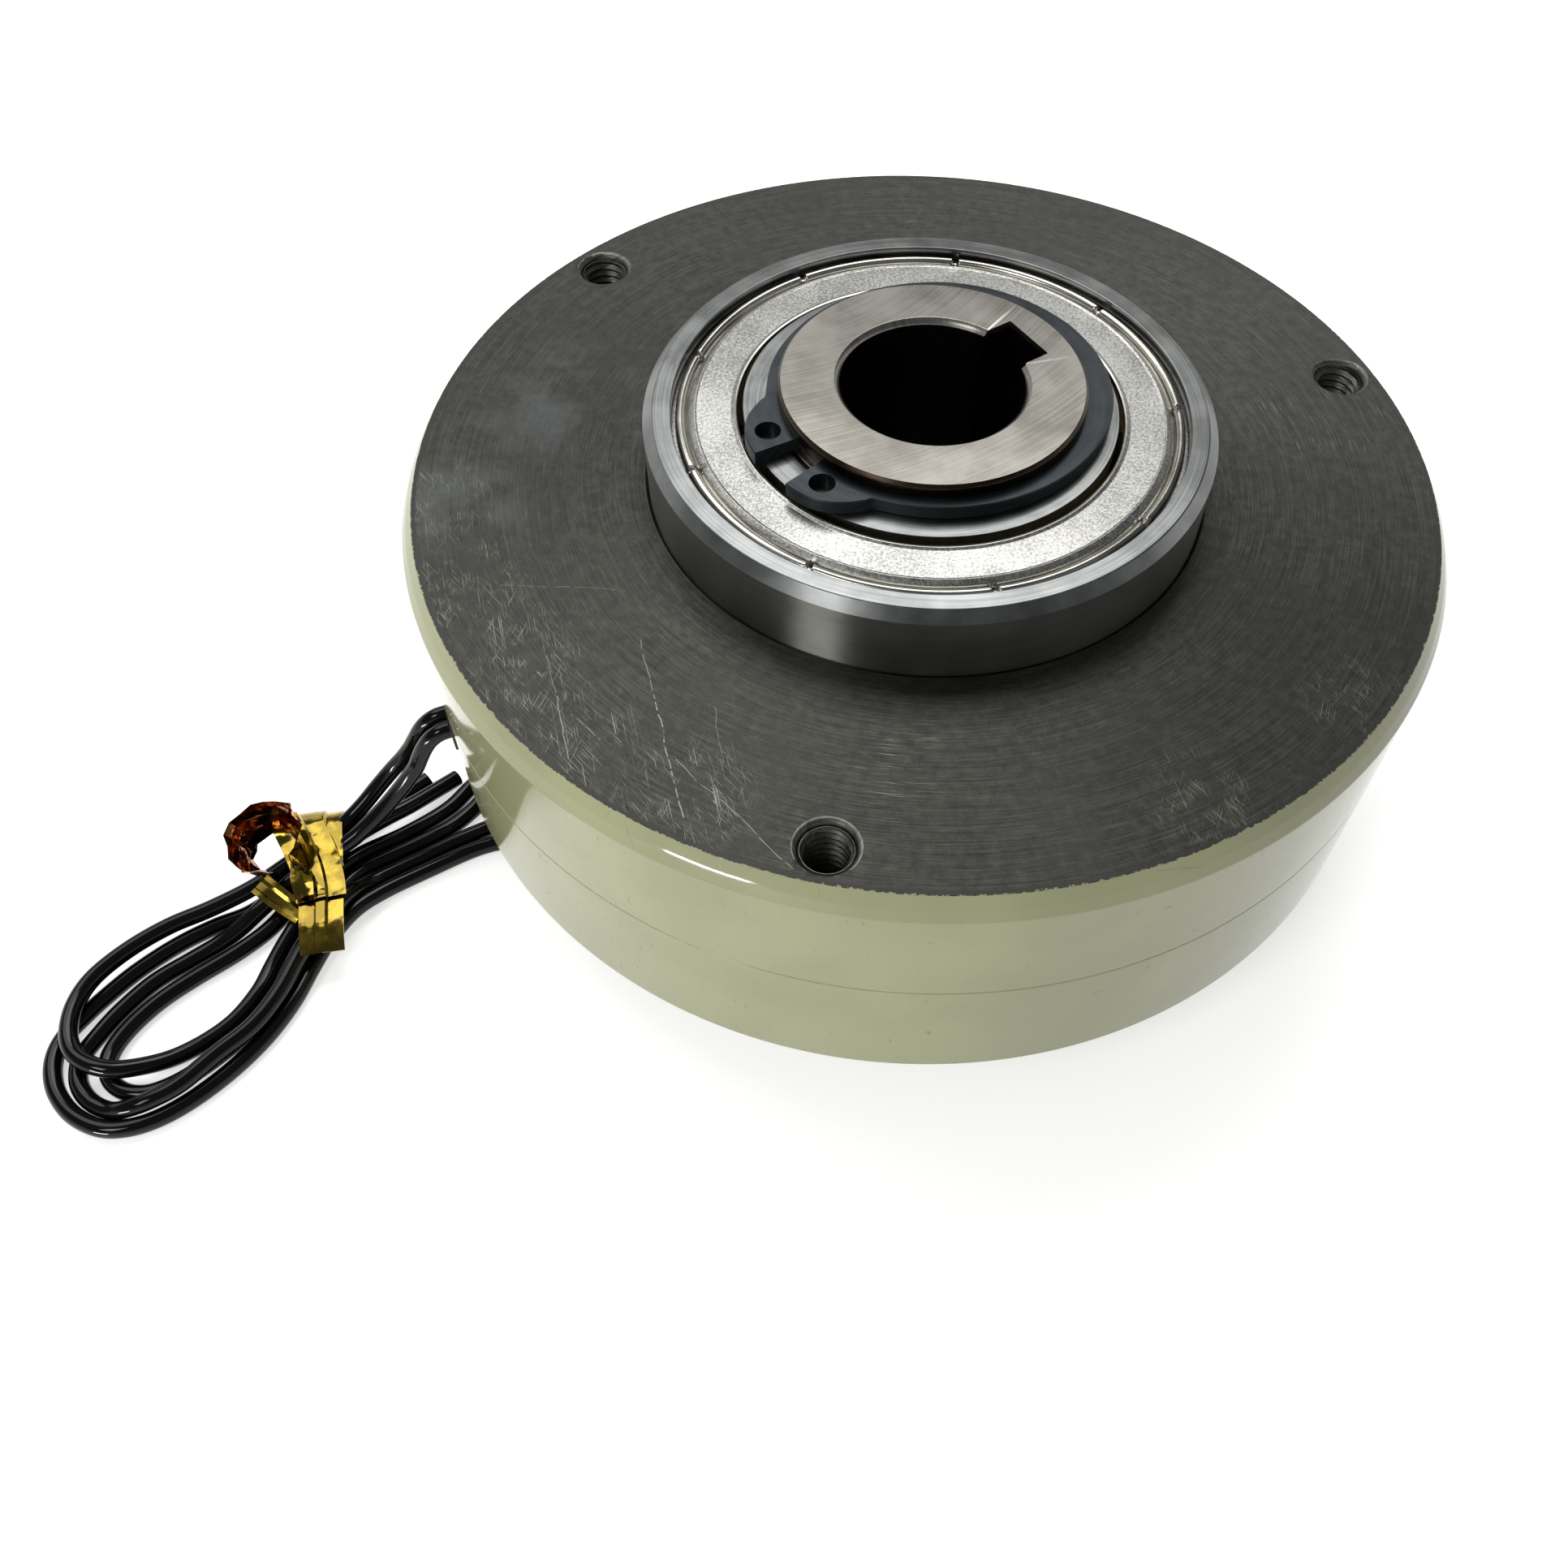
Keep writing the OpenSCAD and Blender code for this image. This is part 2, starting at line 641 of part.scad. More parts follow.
module front_circlip() {
    circlip(front_top_z + seat_clear);
}

module rear_circlip() {
    circlip(rear_low_z - clip_t - seat_clear);
}

// Leads: out of the grommet, down to the floor and into a hank that runs under the rim

lead_r = lead_d / 2;
lead_pitch = lead_d + lead_gap;
lead_z = rim_z + lead_up;
grommet_in_r = chamber_r + bobbin_clearance / 2;
grommet_out_r = body_r + grommet_proud;

// Places a piece drawn along +Z so that it points out of the grommet's hole
module lead_place() {
    rotate([0, 0, lead_angle]) translate([0, 0, lead_z]) rotate([0, 90, 0]) children();
}

module lead_grommet() {
    color(black) lead_place() difference() {
        translate([0, 0, grommet_in_r]) cylinder(h = grommet_out_r - grommet_in_r, d = grommet_d, $fn = 48);
        for (side = [-1, 1]) translate([0, side * lead_pitch / 2, grommet_in_r - 1])
            cylinder(h = grommet_out_r - grommet_in_r + 2, r = lead_r + thread_clear, $fn = 32);
    }
}

module coil_tails() {
    color(black) lead_place() for (side = [-1, 1])
        translate([0, side * lead_pitch / 2, winding_r + seat_clear])
            cylinder(h = grommet_out_r - winding_r - seat_clear, r = lead_r, $fn = 32);
}

// Centre of a lead, a given way out of the grommet's outer face
function lead_exit(side, out) = [
    (grommet_out_r + out) * cos(lead_angle) - side * lead_pitch / 2 * sin(lead_angle),
    (grommet_out_r + out) * sin(lead_angle) + side * lead_pitch / 2 * cos(lead_angle),
    lead_z
];

run_a_points = concat([lead_exit(-1, 0), lead_exit(-1, lead_d)], [
    [-43.0, -23.3, 12.1], [-45.1, -24.5, 9.0], [-47.2, -25.7, 6.0], [-48.6, -27.4, 3.8]
]);
run_b_points = concat([lead_exit(1, 0), lead_exit(1, lead_d)], [
    [-42.2, -25.0, 11.4], [-44.2, -26.0, 8.0], [-45.8, -27.2, 5.4], [-47.0, -28.8, 3.4]
]);
tail_points = [
    [-47.2, -26.2, 1.4], [-46.3, -24.3, 1.4], [-45.4, -22.4, 1.5], [-44.3, -20.4, 1.7]
];

function unit(v) = v / norm(v);

// Direction of a route at one of its points
function heading(p, i) = unit(p[min(i + 1, len(p) - 1)] - p[max(i - 1, 0)]);

// Corners of the ring of a swept tube at one point of its route
function tube_ring(p, i, r, sides) =
    let (d = heading(p, i), across = unit(cross(d, [0, 0, 1])), up = cross(across, d))
    [for (k = [0 : sides - 1]) p[i] + r * (across * cos(k * 360 / sides) + up * sin(k * 360 / sides))];

module tube(p, r, sides = 8) {
    rings = len(p);
    last = (rings - 1) * sides;
    polyhedron(
        points = [for (i = [0 : rings - 1]) each tube_ring(p, i, r, sides)],
        faces = concat(
            [[for (k = [0 : sides - 1]) k]],
            [[for (k = [sides - 1 : -1 : 0]) last + k]],
            [for (i = [0 : rings - 2]) for (k = [0 : sides - 1]) let (n = (k + 1) % sides)
                [i * sides + k, (i + 1) * sides + k, (i + 1) * sides + n, i * sides + n]]
        )
    );
}

module lead_run_a() {
    color(black) tube(run_a_points, lead_r);
}

module lead_run_b() {
    color(black) tube(run_b_points, lead_r);
}

module lead_tail() {
    color(black) tube(tail_points, lead_r);
}

// Outline of the hank on the floor, from its loops to its end under the rim
tie_centre = [-49.2, -34.6];
tie_heading = 22;
neck_r = 5.2;
neck_start = [-55.7, -37.6];
loops_centre = [-57, -52.8];
loops_r = 9.4;
run_start = [-48, -34.6];
run_start_r = 4;
run_join = [-48.4, -31.2];
run_join_r = 2.6;
run_end = [-33, -18.5];
run_end_r = 4.2;
hank_low_z = tie_t + 0.05;

module disc(centre, r) {
    translate(centre) circle(r = r, $fn = 32);
}

module lead_hank() {
    color(black) translate([0, 0, hank_low_z]) linear_extrude(hank_h) {
        hull() {
            disc(loops_centre, loops_r);
            disc(neck_start, neck_r);
        }
        hull() {
            disc(neck_start, neck_r);
            disc(tie_centre, neck_r);
        }
        hull() {
            disc(run_start, run_start_r);
            disc(run_join, run_join_r);
            disc(run_end, run_end_r);
        }
    }
}

// Twist tie: a flat band round the neck, a flap beside it and its curled end
module twist_tie() {
    inner_w = 2 * neck_r + 1.6;
    inner_h = hank_h + 0.15;
    top_z = tie_t + inner_h;
    curl_tilt = 62;
    curl_w = tie_w * 0.7;
    curl_z = top_z + (tie_curl_d * sin(curl_tilt) + curl_w * cos(curl_tilt) + tie_t) / 2;
    color("gold") translate([tie_centre.x, tie_centre.y, 0]) rotate([0, 0, tie_heading]) {
        rotate([90, 0, 90]) translate([0, 0, -tie_w / 2]) linear_extrude(tie_w) difference() {
            translate([-inner_w / 2 - tie_t, 0]) square([inner_w + 2 * tie_t, top_z + tie_t]);
            translate([-inner_w / 2, tie_t]) square([inner_w, inner_h]);
        }
        translate([-tie_w / 2 - 3.4, 1.2, top_z]) cube([3.5, 4, tie_t]);
        translate([-tie_w / 2 - 2.1, 3.4, curl_z]) rotate([0, curl_tilt, -76]) difference() {
            cylinder(h = curl_w, d = tie_curl_d, center = true, $fn = 32);
            cylinder(h = tie_w, d = tie_curl_d - 2 * tie_t, center = true, $fn = 32);
        }
    }
}

front_stator_half();
rear_stator_half();
gap_ring();
coil_bobbin();
coil_winding();
coil_tails();
housing_screws();
lead_grommet();
powder_charge();
front_powder_seal();
rear_powder_seal();
front_outer_ring();
front_outer_shield();
front_inner_shield();
front_cage();
front_balls();
front_inner_ring();
rear_outer_ring();
rear_outer_shield();
rear_inner_shield();
rear_cage();
rear_balls();
rear_inner_ring();
hollow_shaft();
rotor_drum();
rotor_screws();
front_circlip();
rear_circlip();
lead_run_a();
lead_run_b();
lead_tail();
lead_hank();
twist_tie();
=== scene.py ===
"""Looks of a magnetic powder brake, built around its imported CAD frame.

Each sub-assembly is a class: its sizes are dataclass fields in millimetres, and its methods build
the meshes and dress them. Each finish is a small frozen dataclass that makes one material.
"""
import sys
import logging
import math
from dataclasses import dataclass, field
from enum import Enum
from typing import Any, Iterable, Optional, Sequence

import bpy
import numpy as np
from mathutils import Matrix, Vector


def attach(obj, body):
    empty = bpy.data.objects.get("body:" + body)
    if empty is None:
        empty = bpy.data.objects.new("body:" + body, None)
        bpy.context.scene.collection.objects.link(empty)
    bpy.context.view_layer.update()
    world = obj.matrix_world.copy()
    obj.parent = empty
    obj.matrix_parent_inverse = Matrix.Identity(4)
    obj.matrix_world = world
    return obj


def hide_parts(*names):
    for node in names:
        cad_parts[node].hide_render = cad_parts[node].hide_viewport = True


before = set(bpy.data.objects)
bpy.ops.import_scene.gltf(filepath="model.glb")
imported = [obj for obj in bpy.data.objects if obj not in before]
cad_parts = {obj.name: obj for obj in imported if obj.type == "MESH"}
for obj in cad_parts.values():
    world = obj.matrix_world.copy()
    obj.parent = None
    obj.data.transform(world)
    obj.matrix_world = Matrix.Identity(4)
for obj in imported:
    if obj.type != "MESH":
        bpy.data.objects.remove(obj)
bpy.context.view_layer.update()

MM = 0.001
Array = np.ndarray
log = logging.getLogger("powder_brake")


# Numbers and colours

def linear(colour: str) -> tuple[float, float, float, float]:
    """Turns an sRGB hex colour into linear red, green, blue and a full alpha.

    Each channel c is c / 12.92 up to 0.04045, and ((c + 0.055) / 1.055) ** 2.4 above it.

    Args:
        colour: six hex digits, with or without a leading hash.
    Returns:
        The four linear values.
    """
    digits = colour.lstrip("#")
    srgb = [int(digits[i:i + 2], 16) / 255 for i in (0, 2, 4)]
    rgb = [c / 12.92 if c <= 0.04045 else ((c + 0.055) / 1.055) ** 2.4 for c in srgb]
    return rgb[0], rgb[1], rgb[2], 1.0


def unit(vectors: Array) -> Array:
    """Divides each row by its own length."""
    return vectors / np.maximum(np.linalg.norm(vectors, axis=-1, keepdims=True), 1e-12)


# Shapes worked out on a grid of two parameters

def grid_faces(rows: int, cols: int, wrap_rows: bool, wrap_cols: bool) -> Array:
    """Joins a grid of points, row by row, into four-sided faces.

    Face (i, j) takes points (i, j), (i, j + 1), (i + 1, j + 1) and (i + 1, j), where an index
    past the end starts again at 0 if that direction wraps.

    Args:
        rows, cols: how many points there are each way.
        wrap_rows, wrap_cols: True where the last line of points joins the first.
    Returns:
        An array of shape (faces, 4).
    """
    i = np.arange(rows if wrap_rows else rows - 1)[:, None]
    j = np.arange(cols if wrap_cols else cols - 1)[None, :]
    i2, j2 = (i + 1) % rows, (j + 1) % cols
    return np.stack(np.broadcast_arrays(i * cols + j, i * cols + j2, i2 * cols + j2, i2 * cols + j),
                    axis=-1).reshape(-1, 4)


def rounded(profile: Sequence[tuple[float, float, float]], steps: int = 3, closed: bool = True) -> Array:
    """Rounds the corners of an outline.

    Each row is x, y and the radius of that corner. A corner that turns by the angle d is cut back by
    radius * tan(d / 2) on both sides, never by more than 0.45 of a side, and the gap is closed with
    a quadratic curve whose middle point is the corner itself.

    Args:
        profile: the corners in order.
        steps: how many pieces each round corner has.
        closed: whether the last corner joins the first.
    Returns:
        The points, of shape (n, 2), without doubles.
    """
    data = np.asarray(profile, float)
    p, radius = data[:, :2], data[:, 2]
    back, ahead = np.roll(p, 1, axis=0) - p, np.roll(p, -1, axis=0) - p
    len_back, len_ahead = np.linalg.norm(back, axis=1), np.linalg.norm(ahead, axis=1)
    cosine = np.sum(unit(back) * unit(ahead), axis=1).clip(-1, 1)
    turn = math.pi - np.arccos(cosine)
    cut = np.minimum(radius * np.tan(np.minimum(turn, 3.0) / 2), 0.45 * np.minimum(len_back, len_ahead))
    if not closed:
        cut[[0, -1]] = 0
    t = np.linspace(0, 1, steps + 1)[None, :, None]
    start, end = p + unit(back) * cut[:, None], p + unit(ahead) * cut[:, None]
    curve = (1 - t) ** 2 * start[:, None] + 2 * t * (1 - t) * p[:, None] + t ** 2 * end[:, None]
    keep = np.ones(curve.shape[:2], bool)
    keep[cut < 1e-6, 1:] = False
    return curve[keep]


def turned(profile: Array, angles: Array) -> Array:
    """Carries an outline of radius and height round the Z axis: x = r cos a, y = r sin a, z = z.

    Args:
        profile: points of radius and height, shape (n, 2).
        angles: the angles in radians, shape (m,).
    Returns:
        Points of shape (n, m, 3).
    """
    r, z = profile[:, 0:1], profile[:, 1:2]
    return np.stack(np.broadcast_arrays(r * np.cos(angles), r * np.sin(angles), z), axis=-1)


def around(count: int, start: float = 0.0) -> Array:
    """Evenly spaced angles of a full turn in radians."""
    return start + np.arange(count) * 2 * math.pi / count


def swept(path: Array, side: Array, section: Array) -> Array:
    """Carries a section along a path.

    At each point the section's first coordinate is laid along the given side direction, and its
    second along the cross product of side and path, so point = path + a * side + b * normal.

    Args:
        path: points of shape (n, 3).
        side: unit directions across the path, shape (n, 3).
        section: points of shape (m, 2), or (n, m, 2) where it changes along the path.
    Returns:
        Points of shape (n, m, 3).
    """
    along = unit(np.gradient(path, axis=0))
    side = unit(side - along * np.sum(side * along, axis=1, keepdims=True))
    normal = np.cross(side, along)
    section = np.broadcast_to(section, (len(path),) + section.shape[-2:])
    return path[:, None] + section[..., 0:1] * side[:, None] + section[..., 1:2] * normal[:, None]


def smooth_path(points: Sequence[Sequence[float]], count: int) -> Array:
    """Runs a smooth curve through points: a cubic of the Catmull-Rom kind, evenly spaced along its length.

    Between points p1 and p2 the curve is a cubic whose slopes are (p2 - p0) / 2 and (p3 - p1) / 2.

    Args:
        points: the points that it passes.
        count: how many points to return.
    Returns:
        Points of shape (count, 3).
    """
    p = np.asarray(points, float)
    padded = np.vstack([2 * p[0] - p[1], p, 2 * p[-1] - p[-2]])
    t = np.linspace(0, 1, 24, endpoint=False)[None, :, None]
    p0, p1, p2, p3 = (padded[k:len(p) - 1 + k][:, None] for k in range(4))
    curve = 0.5 * (2 * p1 + (p2 - p0) * t + (2 * p0 - 5 * p1 + 4 * p2 - p3) * t ** 2
                   + (3 * p1 - p0 - 3 * p2 + p3) * t ** 3)
    curve = np.vstack([curve.reshape(-1, p.shape[1]), p[-1:]])
    run = np.concatenate([[0], np.cumsum(np.linalg.norm(np.diff(curve, axis=0), axis=1))])
    where = np.linspace(0, run[-1], count)
    return np.stack([np.interp(where, run, curve[:, k]) for k in range(p.shape[1])], axis=1)


# Blender objects

@dataclass
class Shell:
    """A mesh before it is made: points in millimetres, faces, and a finish number for each face."""

    points: Array
    faces: list[tuple[int, ...]]
    finish: Array

    @staticmethod
    def of_grid(points: Array, wrap_rows: bool = True, wrap_cols: bool = True, caps: bool = False,
                finish: Optional[Array] = None) -> "Shell":
        """Makes a shell from a grid of points.

        Args:
            points: shape (rows, cols, 3).
            wrap_rows, wrap_cols: whether the grid closes on itself each way.
            caps: whether the first and last rows are closed with one flat face each.
            finish: a finish number for each row of faces.
        Returns:
            The shell.
        """
        rows, cols = points.shape[:2]
        quads = grid_faces(rows, cols, wrap_rows, wrap_cols)
        per_row = len(quads) // (rows if wrap_rows else rows - 1)
        numbers = np.zeros(len(quads), int) if finish is None else np.repeat(finish, per_row)
        faces = list(map(tuple, quads.tolist()))
        if caps:
            first = np.arange(cols)
            faces += [tuple(first.tolist()[::-1]), tuple((first + (rows - 1) * cols).tolist())]
            numbers = np.concatenate([numbers, numbers[:1], numbers[-1:]])
        return Shell(points.reshape(-1, 3), faces, numbers)

    def __add__(self, other: "Shell") -> "Shell":
        """Puts two shells in one mesh.

        Args:
            other: the shell that is added; its faces come last.
        Returns:
            The shell of both.
        """
        shift = len(self.points)
        moved = [tuple(v + shift for v in face) for face in other.faces]
        return Shell(np.vstack([self.points, other.points]), self.faces + moved,
                     np.concatenate([self.finish, other.finish]))

    def moved(self, matrix: Array) -> "Shell":
        """Applies a matrix, and turns the faces round where it mirrors.

        Args:
            matrix: 4 by 4.
        Returns:
            The moved shell.
        """
        points = self.points @ matrix[:3, :3].T + matrix[:3, 3]
        flip = np.linalg.det(matrix[:3, :3]) < 0
        return Shell(points, [face[::-1] for face in self.faces] if flip else self.faces, self.finish)

    def volume(self) -> float:
        """Works out the signed volume.

        It is a sixth of the sum of a . (b x c) over the triangles of each face's fan.

        Returns:
            Cubic millimetres, negative where the faces point inwards.
        """
        total = 0.0
        sizes = np.array([len(face) for face in self.faces])
        for size in np.unique(sizes):
            rows = np.array([f for f, s in zip(self.faces, sizes) if s == size])
            a = self.points[rows[:, :1]]
            b, c = self.points[rows[:, 1:-1]], self.points[rows[:, 2:]]
            total += np.einsum("fni,fni->", np.broadcast_to(a, b.shape), np.cross(b, c)) / 6
        return float(total)

    def outward(self) -> "Shell":
        """Turns the faces round where the volume is negative.

        Returns:
            The shell with its faces pointing out.
        """
        if self.volume() >= 0:
            return self
        return Shell(self.points, [face[::-1] for face in self.faces], self.finish)


def joined(shells: Iterable[Shell]) -> Shell:
    """Puts several shells in one mesh.

    Args:
        shells: one or more shells.
    Returns:
        The shell of all of them.
    """
    shells = list(shells)
    total = shells[0]
    for shell in shells[1:]:
        total = total + shell
    return total


def lathe(profile: Array, segments: int = 256, finish: Optional[Array] = None) -> Shell:
    """Turns a closed outline round the Z axis into a closed ring with its faces outwards."""
    return Shell.of_grid(turned(profile, around(segments)), finish=finish).outward()


def spun(shell: Shell, angle: float) -> Shell:
    """The shell turned about the Z axis by an angle in degrees."""
    return shell.moved(np.array(Matrix.Rotation(math.radians(angle), 4, "Z")))


def shifted(shell: Shell, x: float = 0.0, y: float = 0.0, z: float = 0.0) -> Shell:
    """The shell moved by x, y and z in millimetres."""
    return shell.moved(np.array(Matrix.Translation((x, y, z))))


def upside_down(shell: Shell, height: float) -> Shell:
    """Mirrors a shell in a level plane at half the given height, so that z becomes height - z.

    Args:
        shell: what is mirrored.
        height: millimetres.
    Returns:
        The mirrored shell.
    """
    matrix = np.diag([1.0, 1.0, -1.0, 1.0])
    matrix[2, 3] = height
    return shell.moved(matrix)


def baked(piece: bpy.types.Object) -> None:
    """Applies a piece's modifiers: its mesh becomes what they make of it, and they go.

    Args:
        piece: the piece.
    """
    bpy.context.view_layer.update()
    result = bpy.data.meshes.new_from_object(piece.evaluated_get(bpy.context.evaluated_depsgraph_get()))
    old, piece.data = piece.data, result
    piece.modifiers.clear()
    name = old.name
    bpy.data.meshes.remove(old)
    result.name = name


def smoothed(piece: bpy.types.Object, sharp: float) -> None:
    """Shades a piece smooth up to its sharp edges, and keeps its flats flat beside small rounds.

    Each corner's normal is the mean of its faces' normals, weighted by their areas.

    Args:
        piece: the piece.
        sharp: edges that turn by more than this angle in degrees stay sharp.
    """
    mesh = piece.data
    mesh.polygons.foreach_set("use_smooth", np.ones(len(mesh.polygons), bool))
    mesh.set_sharp_from_angle(angle=math.radians(sharp))
    flats = piece.modifiers.new("flats", "WEIGHTED_NORMAL")
    flats.mode, flats.keep_sharp, flats.weight = "FACE_AREA", True, 50
    baked(piece)


def make(name: str, shell: Shell, finishes: Sequence[bpy.types.Material],
         sharp: float = 38) -> bpy.types.Object:
    """Makes a smooth-shaded object from a shell and logs it.

    Args:
        name: the object's name.
        shell: its points in millimetres and its faces.
        finishes: the materials that the finish numbers stand for.
        sharp: edges that turn by more than this angle in degrees stay sharp.
    Returns:
        The object, at the origin, with its place in its mesh.
    """
    mesh = bpy.data.meshes.new(name)
    mesh.from_pydata((shell.points * MM).tolist(), [], shell.faces)
    for finish in finishes:
        mesh.materials.append(finish)
    mesh.polygons.foreach_set("material_index", shell.finish.astype(np.int32))
    mesh.update()
    piece = bpy.data.objects.new(name, mesh)
    bpy.context.scene.collection.objects.link(piece)
    smoothed(piece, sharp)
    log.info("%s: %d points, %d faces", name, len(piece.data.vertices), len(piece.data.polygons))
    return piece


def carved(piece: bpy.types.Object, cutter: Shell, finish: bpy.types.Material, sharp: float = 38) -> None:
    """Cuts a shell out of a piece and keeps the result as its mesh.

    Args:
        piece: what is cut.
        cutter: what is taken away.
        finish: the material of the cut's walls.
        sharp: edges that turn by more than this angle in degrees stay sharp.
    """
    tool = make(piece.name + "_cutter", cutter, [finish])
    change = piece.modifiers.new("carve", "BOOLEAN")
    change.operation, change.solver, change.object = "DIFFERENCE", "EXACT", tool
    change.material_mode = "TRANSFER"
    baked(piece)
    bpy.data.objects.remove(tool)
    smoothed(piece, sharp)


def place(piece: bpy.types.Object, body: str, nodes: Sequence[str]) -> bpy.types.Object:
    """Makes a piece ride on a body, in the stead of CAD nodes where it has any.

    Args:
        piece: the piece.
        body: the body's name in the record.
        nodes: the CAD nodes that it stands for.
    Returns:
        The piece.
    """
    if nodes:
        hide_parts(*nodes)
    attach(piece, body)
    return piece


def dress(node: str, finish: bpy.types.Material) -> None:
    """Gives a CAD node that keeps its shape a better material.

    Args:
        node: the node's name.
        finish: the material.
    """
    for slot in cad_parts[node].material_slots:
        slot.link = "OBJECT"
        slot.material = finish
    log.info("%s keeps its shape", node)


# Node trees

class Tree:
    """A node tree that is filled by one method."""

    def __init__(self, tree: bpy.types.NodeTree) -> None:
        """Takes a node tree and empties it."""
        self.tree = tree
        self.tree.nodes.clear()

    def add(self, kind: str, *values: Any, inputs: Optional[dict[Any, Any]] = None, output: Any = 0,
            **settings: Any) -> Optional[bpy.types.NodeSocket]:
        """Adds one shader node, sets it up and joins it.

        Args:
            kind: the node's type without its leading ShaderNode.
            values: what goes into its first inputs, in order.
            inputs: what goes into other inputs, by name or number.
            output: the output that is wanted, by name or number.
            settings: the node's own properties, and what goes into inputs whose name is one word.
        Returns:
            The output, or None where the node has none.
        """
        node = self.tree.nodes.new("ShaderNode" + kind)
        for key in [key for key in settings if hasattr(node, key)]:
            setattr(node, key, settings.pop(key))
        self.feed(node, {**dict(enumerate(values)), **(inputs or {}), **settings})
        return node.outputs[output] if node.outputs else None

    def feed(self, node: bpy.types.Node, values: dict[Any, Any]) -> None:
        """Sets or joins a node's inputs.

        Args:
            node: the node.
            values: for each input, by name or number, a socket, a number, a vector or a hex colour.
        """
        for key, value in values.items():
            if isinstance(value, bpy.types.NodeSocket):
                self.tree.links.new(value, node.inputs[key])
            else:
                node.inputs[key].default_value = linear(value) if isinstance(value, str) else value


class Pattern(Tree):
    """One material's node tree, with the places and lines that its finish is put together from."""

    def __init__(self, name: str) -> None:
        """Starts a material with a Principled shader and Object coordinates in metres."""
        self.material = bpy.data.materials.new(name)
        self.material.use_nodes = True
        super().__init__(self.material.node_tree)
        surface = self.add("BsdfPrincipled")
        self.shader = surface.node
        self.add("OutputMaterial", surface)
        self.place = self.add("TexCoord", output="Object")

    def stretched(self, scale: tuple[float, float, float], turn: float = 0.0,
                  centre: tuple[float, float, float] = (0, 0, 0)) -> bpy.types.NodeSocket:
        """Object coordinates in millimetres, moved to a centre, turned about Z and divided by the scale.

        Args:
            scale: millimetres of one unit of the pattern along each axis.
            turn: the angle in degrees that the pattern is turned by.
            centre: the point in millimetres that becomes the origin.
        Returns:
            The vector.
        """
        moved = self.add("VectorMath", self.place, tuple(c * MM for c in centre), operation="SUBTRACT")
        spin = self.add("VectorRotate", moved, rotation_type="Z_AXIS", Angle=math.radians(-turn))
        return self.add("VectorMath", spin, tuple(1 / (s * MM) for s in scale), operation="MULTIPLY")

    def polar(self, centre: tuple[float, float] = (0, 0)) -> tuple[bpy.types.NodeSocket, ...]:
        """Splits the place into radius in mm, angle in turns and height in mm about an axis along Z.

        Args:
            centre: where the axis is, in mm.
        Returns:
            The three sockets.
        """
        x, y, z = self.add("SeparateXYZ", self.stretched((1, 1, 1), 0, (*centre, 0))).node.outputs
        radius = self.add("VectorMath", self.add("CombineXYZ", x, y), operation="LENGTH", output="Value")
        angle = self.add("Math", y, x, operation="ARCTAN2")
        return radius, self.add("Math", angle, 2 * math.pi, operation="DIVIDE"), z

    def scratches(self, turn: float, length: float, width: float, seed: float,
                  share: float = 0.5) -> bpy.types.NodeSocket:
        """Thin lines in one direction: noise that is long one way and thin the other, slightly bent.

        Args:
            turn: direction in degrees from the X axis.
            length, width: size of one streak in mm.
            seed: height in the noise, so that each layer differs.
            share: where the noise starts to count as a scratch.
        Returns:
            1 on a scratch and 0 off it.
        """
        bend = self.add("TexNoise", self.stretched((9, 9, 9)), Scale=1.0, Detail=1, Roughness=0.5)
        bent = self.add("VectorMath", self.stretched((length, width, 1), turn, (0, 0, -seed)),
                        self.add("CombineXYZ", 0.0, bend), operation="ADD")
        streaks = self.add("TexNoise", bent, Scale=1.0, Detail=0, Roughness=0.5)
        return self.add("MapRange", streaks, share, share + 0.05, interpolation_type="SMOOTHSTEP")

    def turning_marks(self) -> None:
        """Lays the shader's tangent across turning marks, so that highlights stretch across them.

        The marks run along Z x place in world axes, and the tangent is their cross product with the normal.
        """
        marks = self.add("VectorMath", (0, 0, 1), self.place, operation="CROSS_PRODUCT")
        world = self.add("VectorTransform", marks, vector_type="VECTOR", convert_from="OBJECT",
                         convert_to="WORLD")
        normal = self.add("NewGeometry", output="Normal")
        across = self.add("VectorMath", world, normal, operation="CROSS_PRODUCT")
        self.feed(self.shader, {"Tangent": self.add("VectorMath", across, operation="NORMALIZE")})

    def finish(self, colour: Any, roughness: Any, metallic: Any, height: bpy.types.NodeSocket, depth: float,
               **extra: float) -> bpy.types.Material:
        """Joins the sockets to the shader.

        Args:
            colour: hex word or socket.
            roughness, metallic: number or socket.
            height: relief of 0 to 1.
            depth: the relief's depth in mm.
            extra: other inputs of the shader that are the same all over, with _ for a space.
        Returns:
            The material.
        """
        normal = self.add("Bump", Strength=1.0, Distance=depth * MM, Height=height)
        self.feed(self.shader, {"Base Color": colour, "Roughness": roughness, "Metallic": metallic,
                                "Normal": normal, **{key.replace("_", " "): extra[key] for key in extra}})
        return self.material


# Finishes

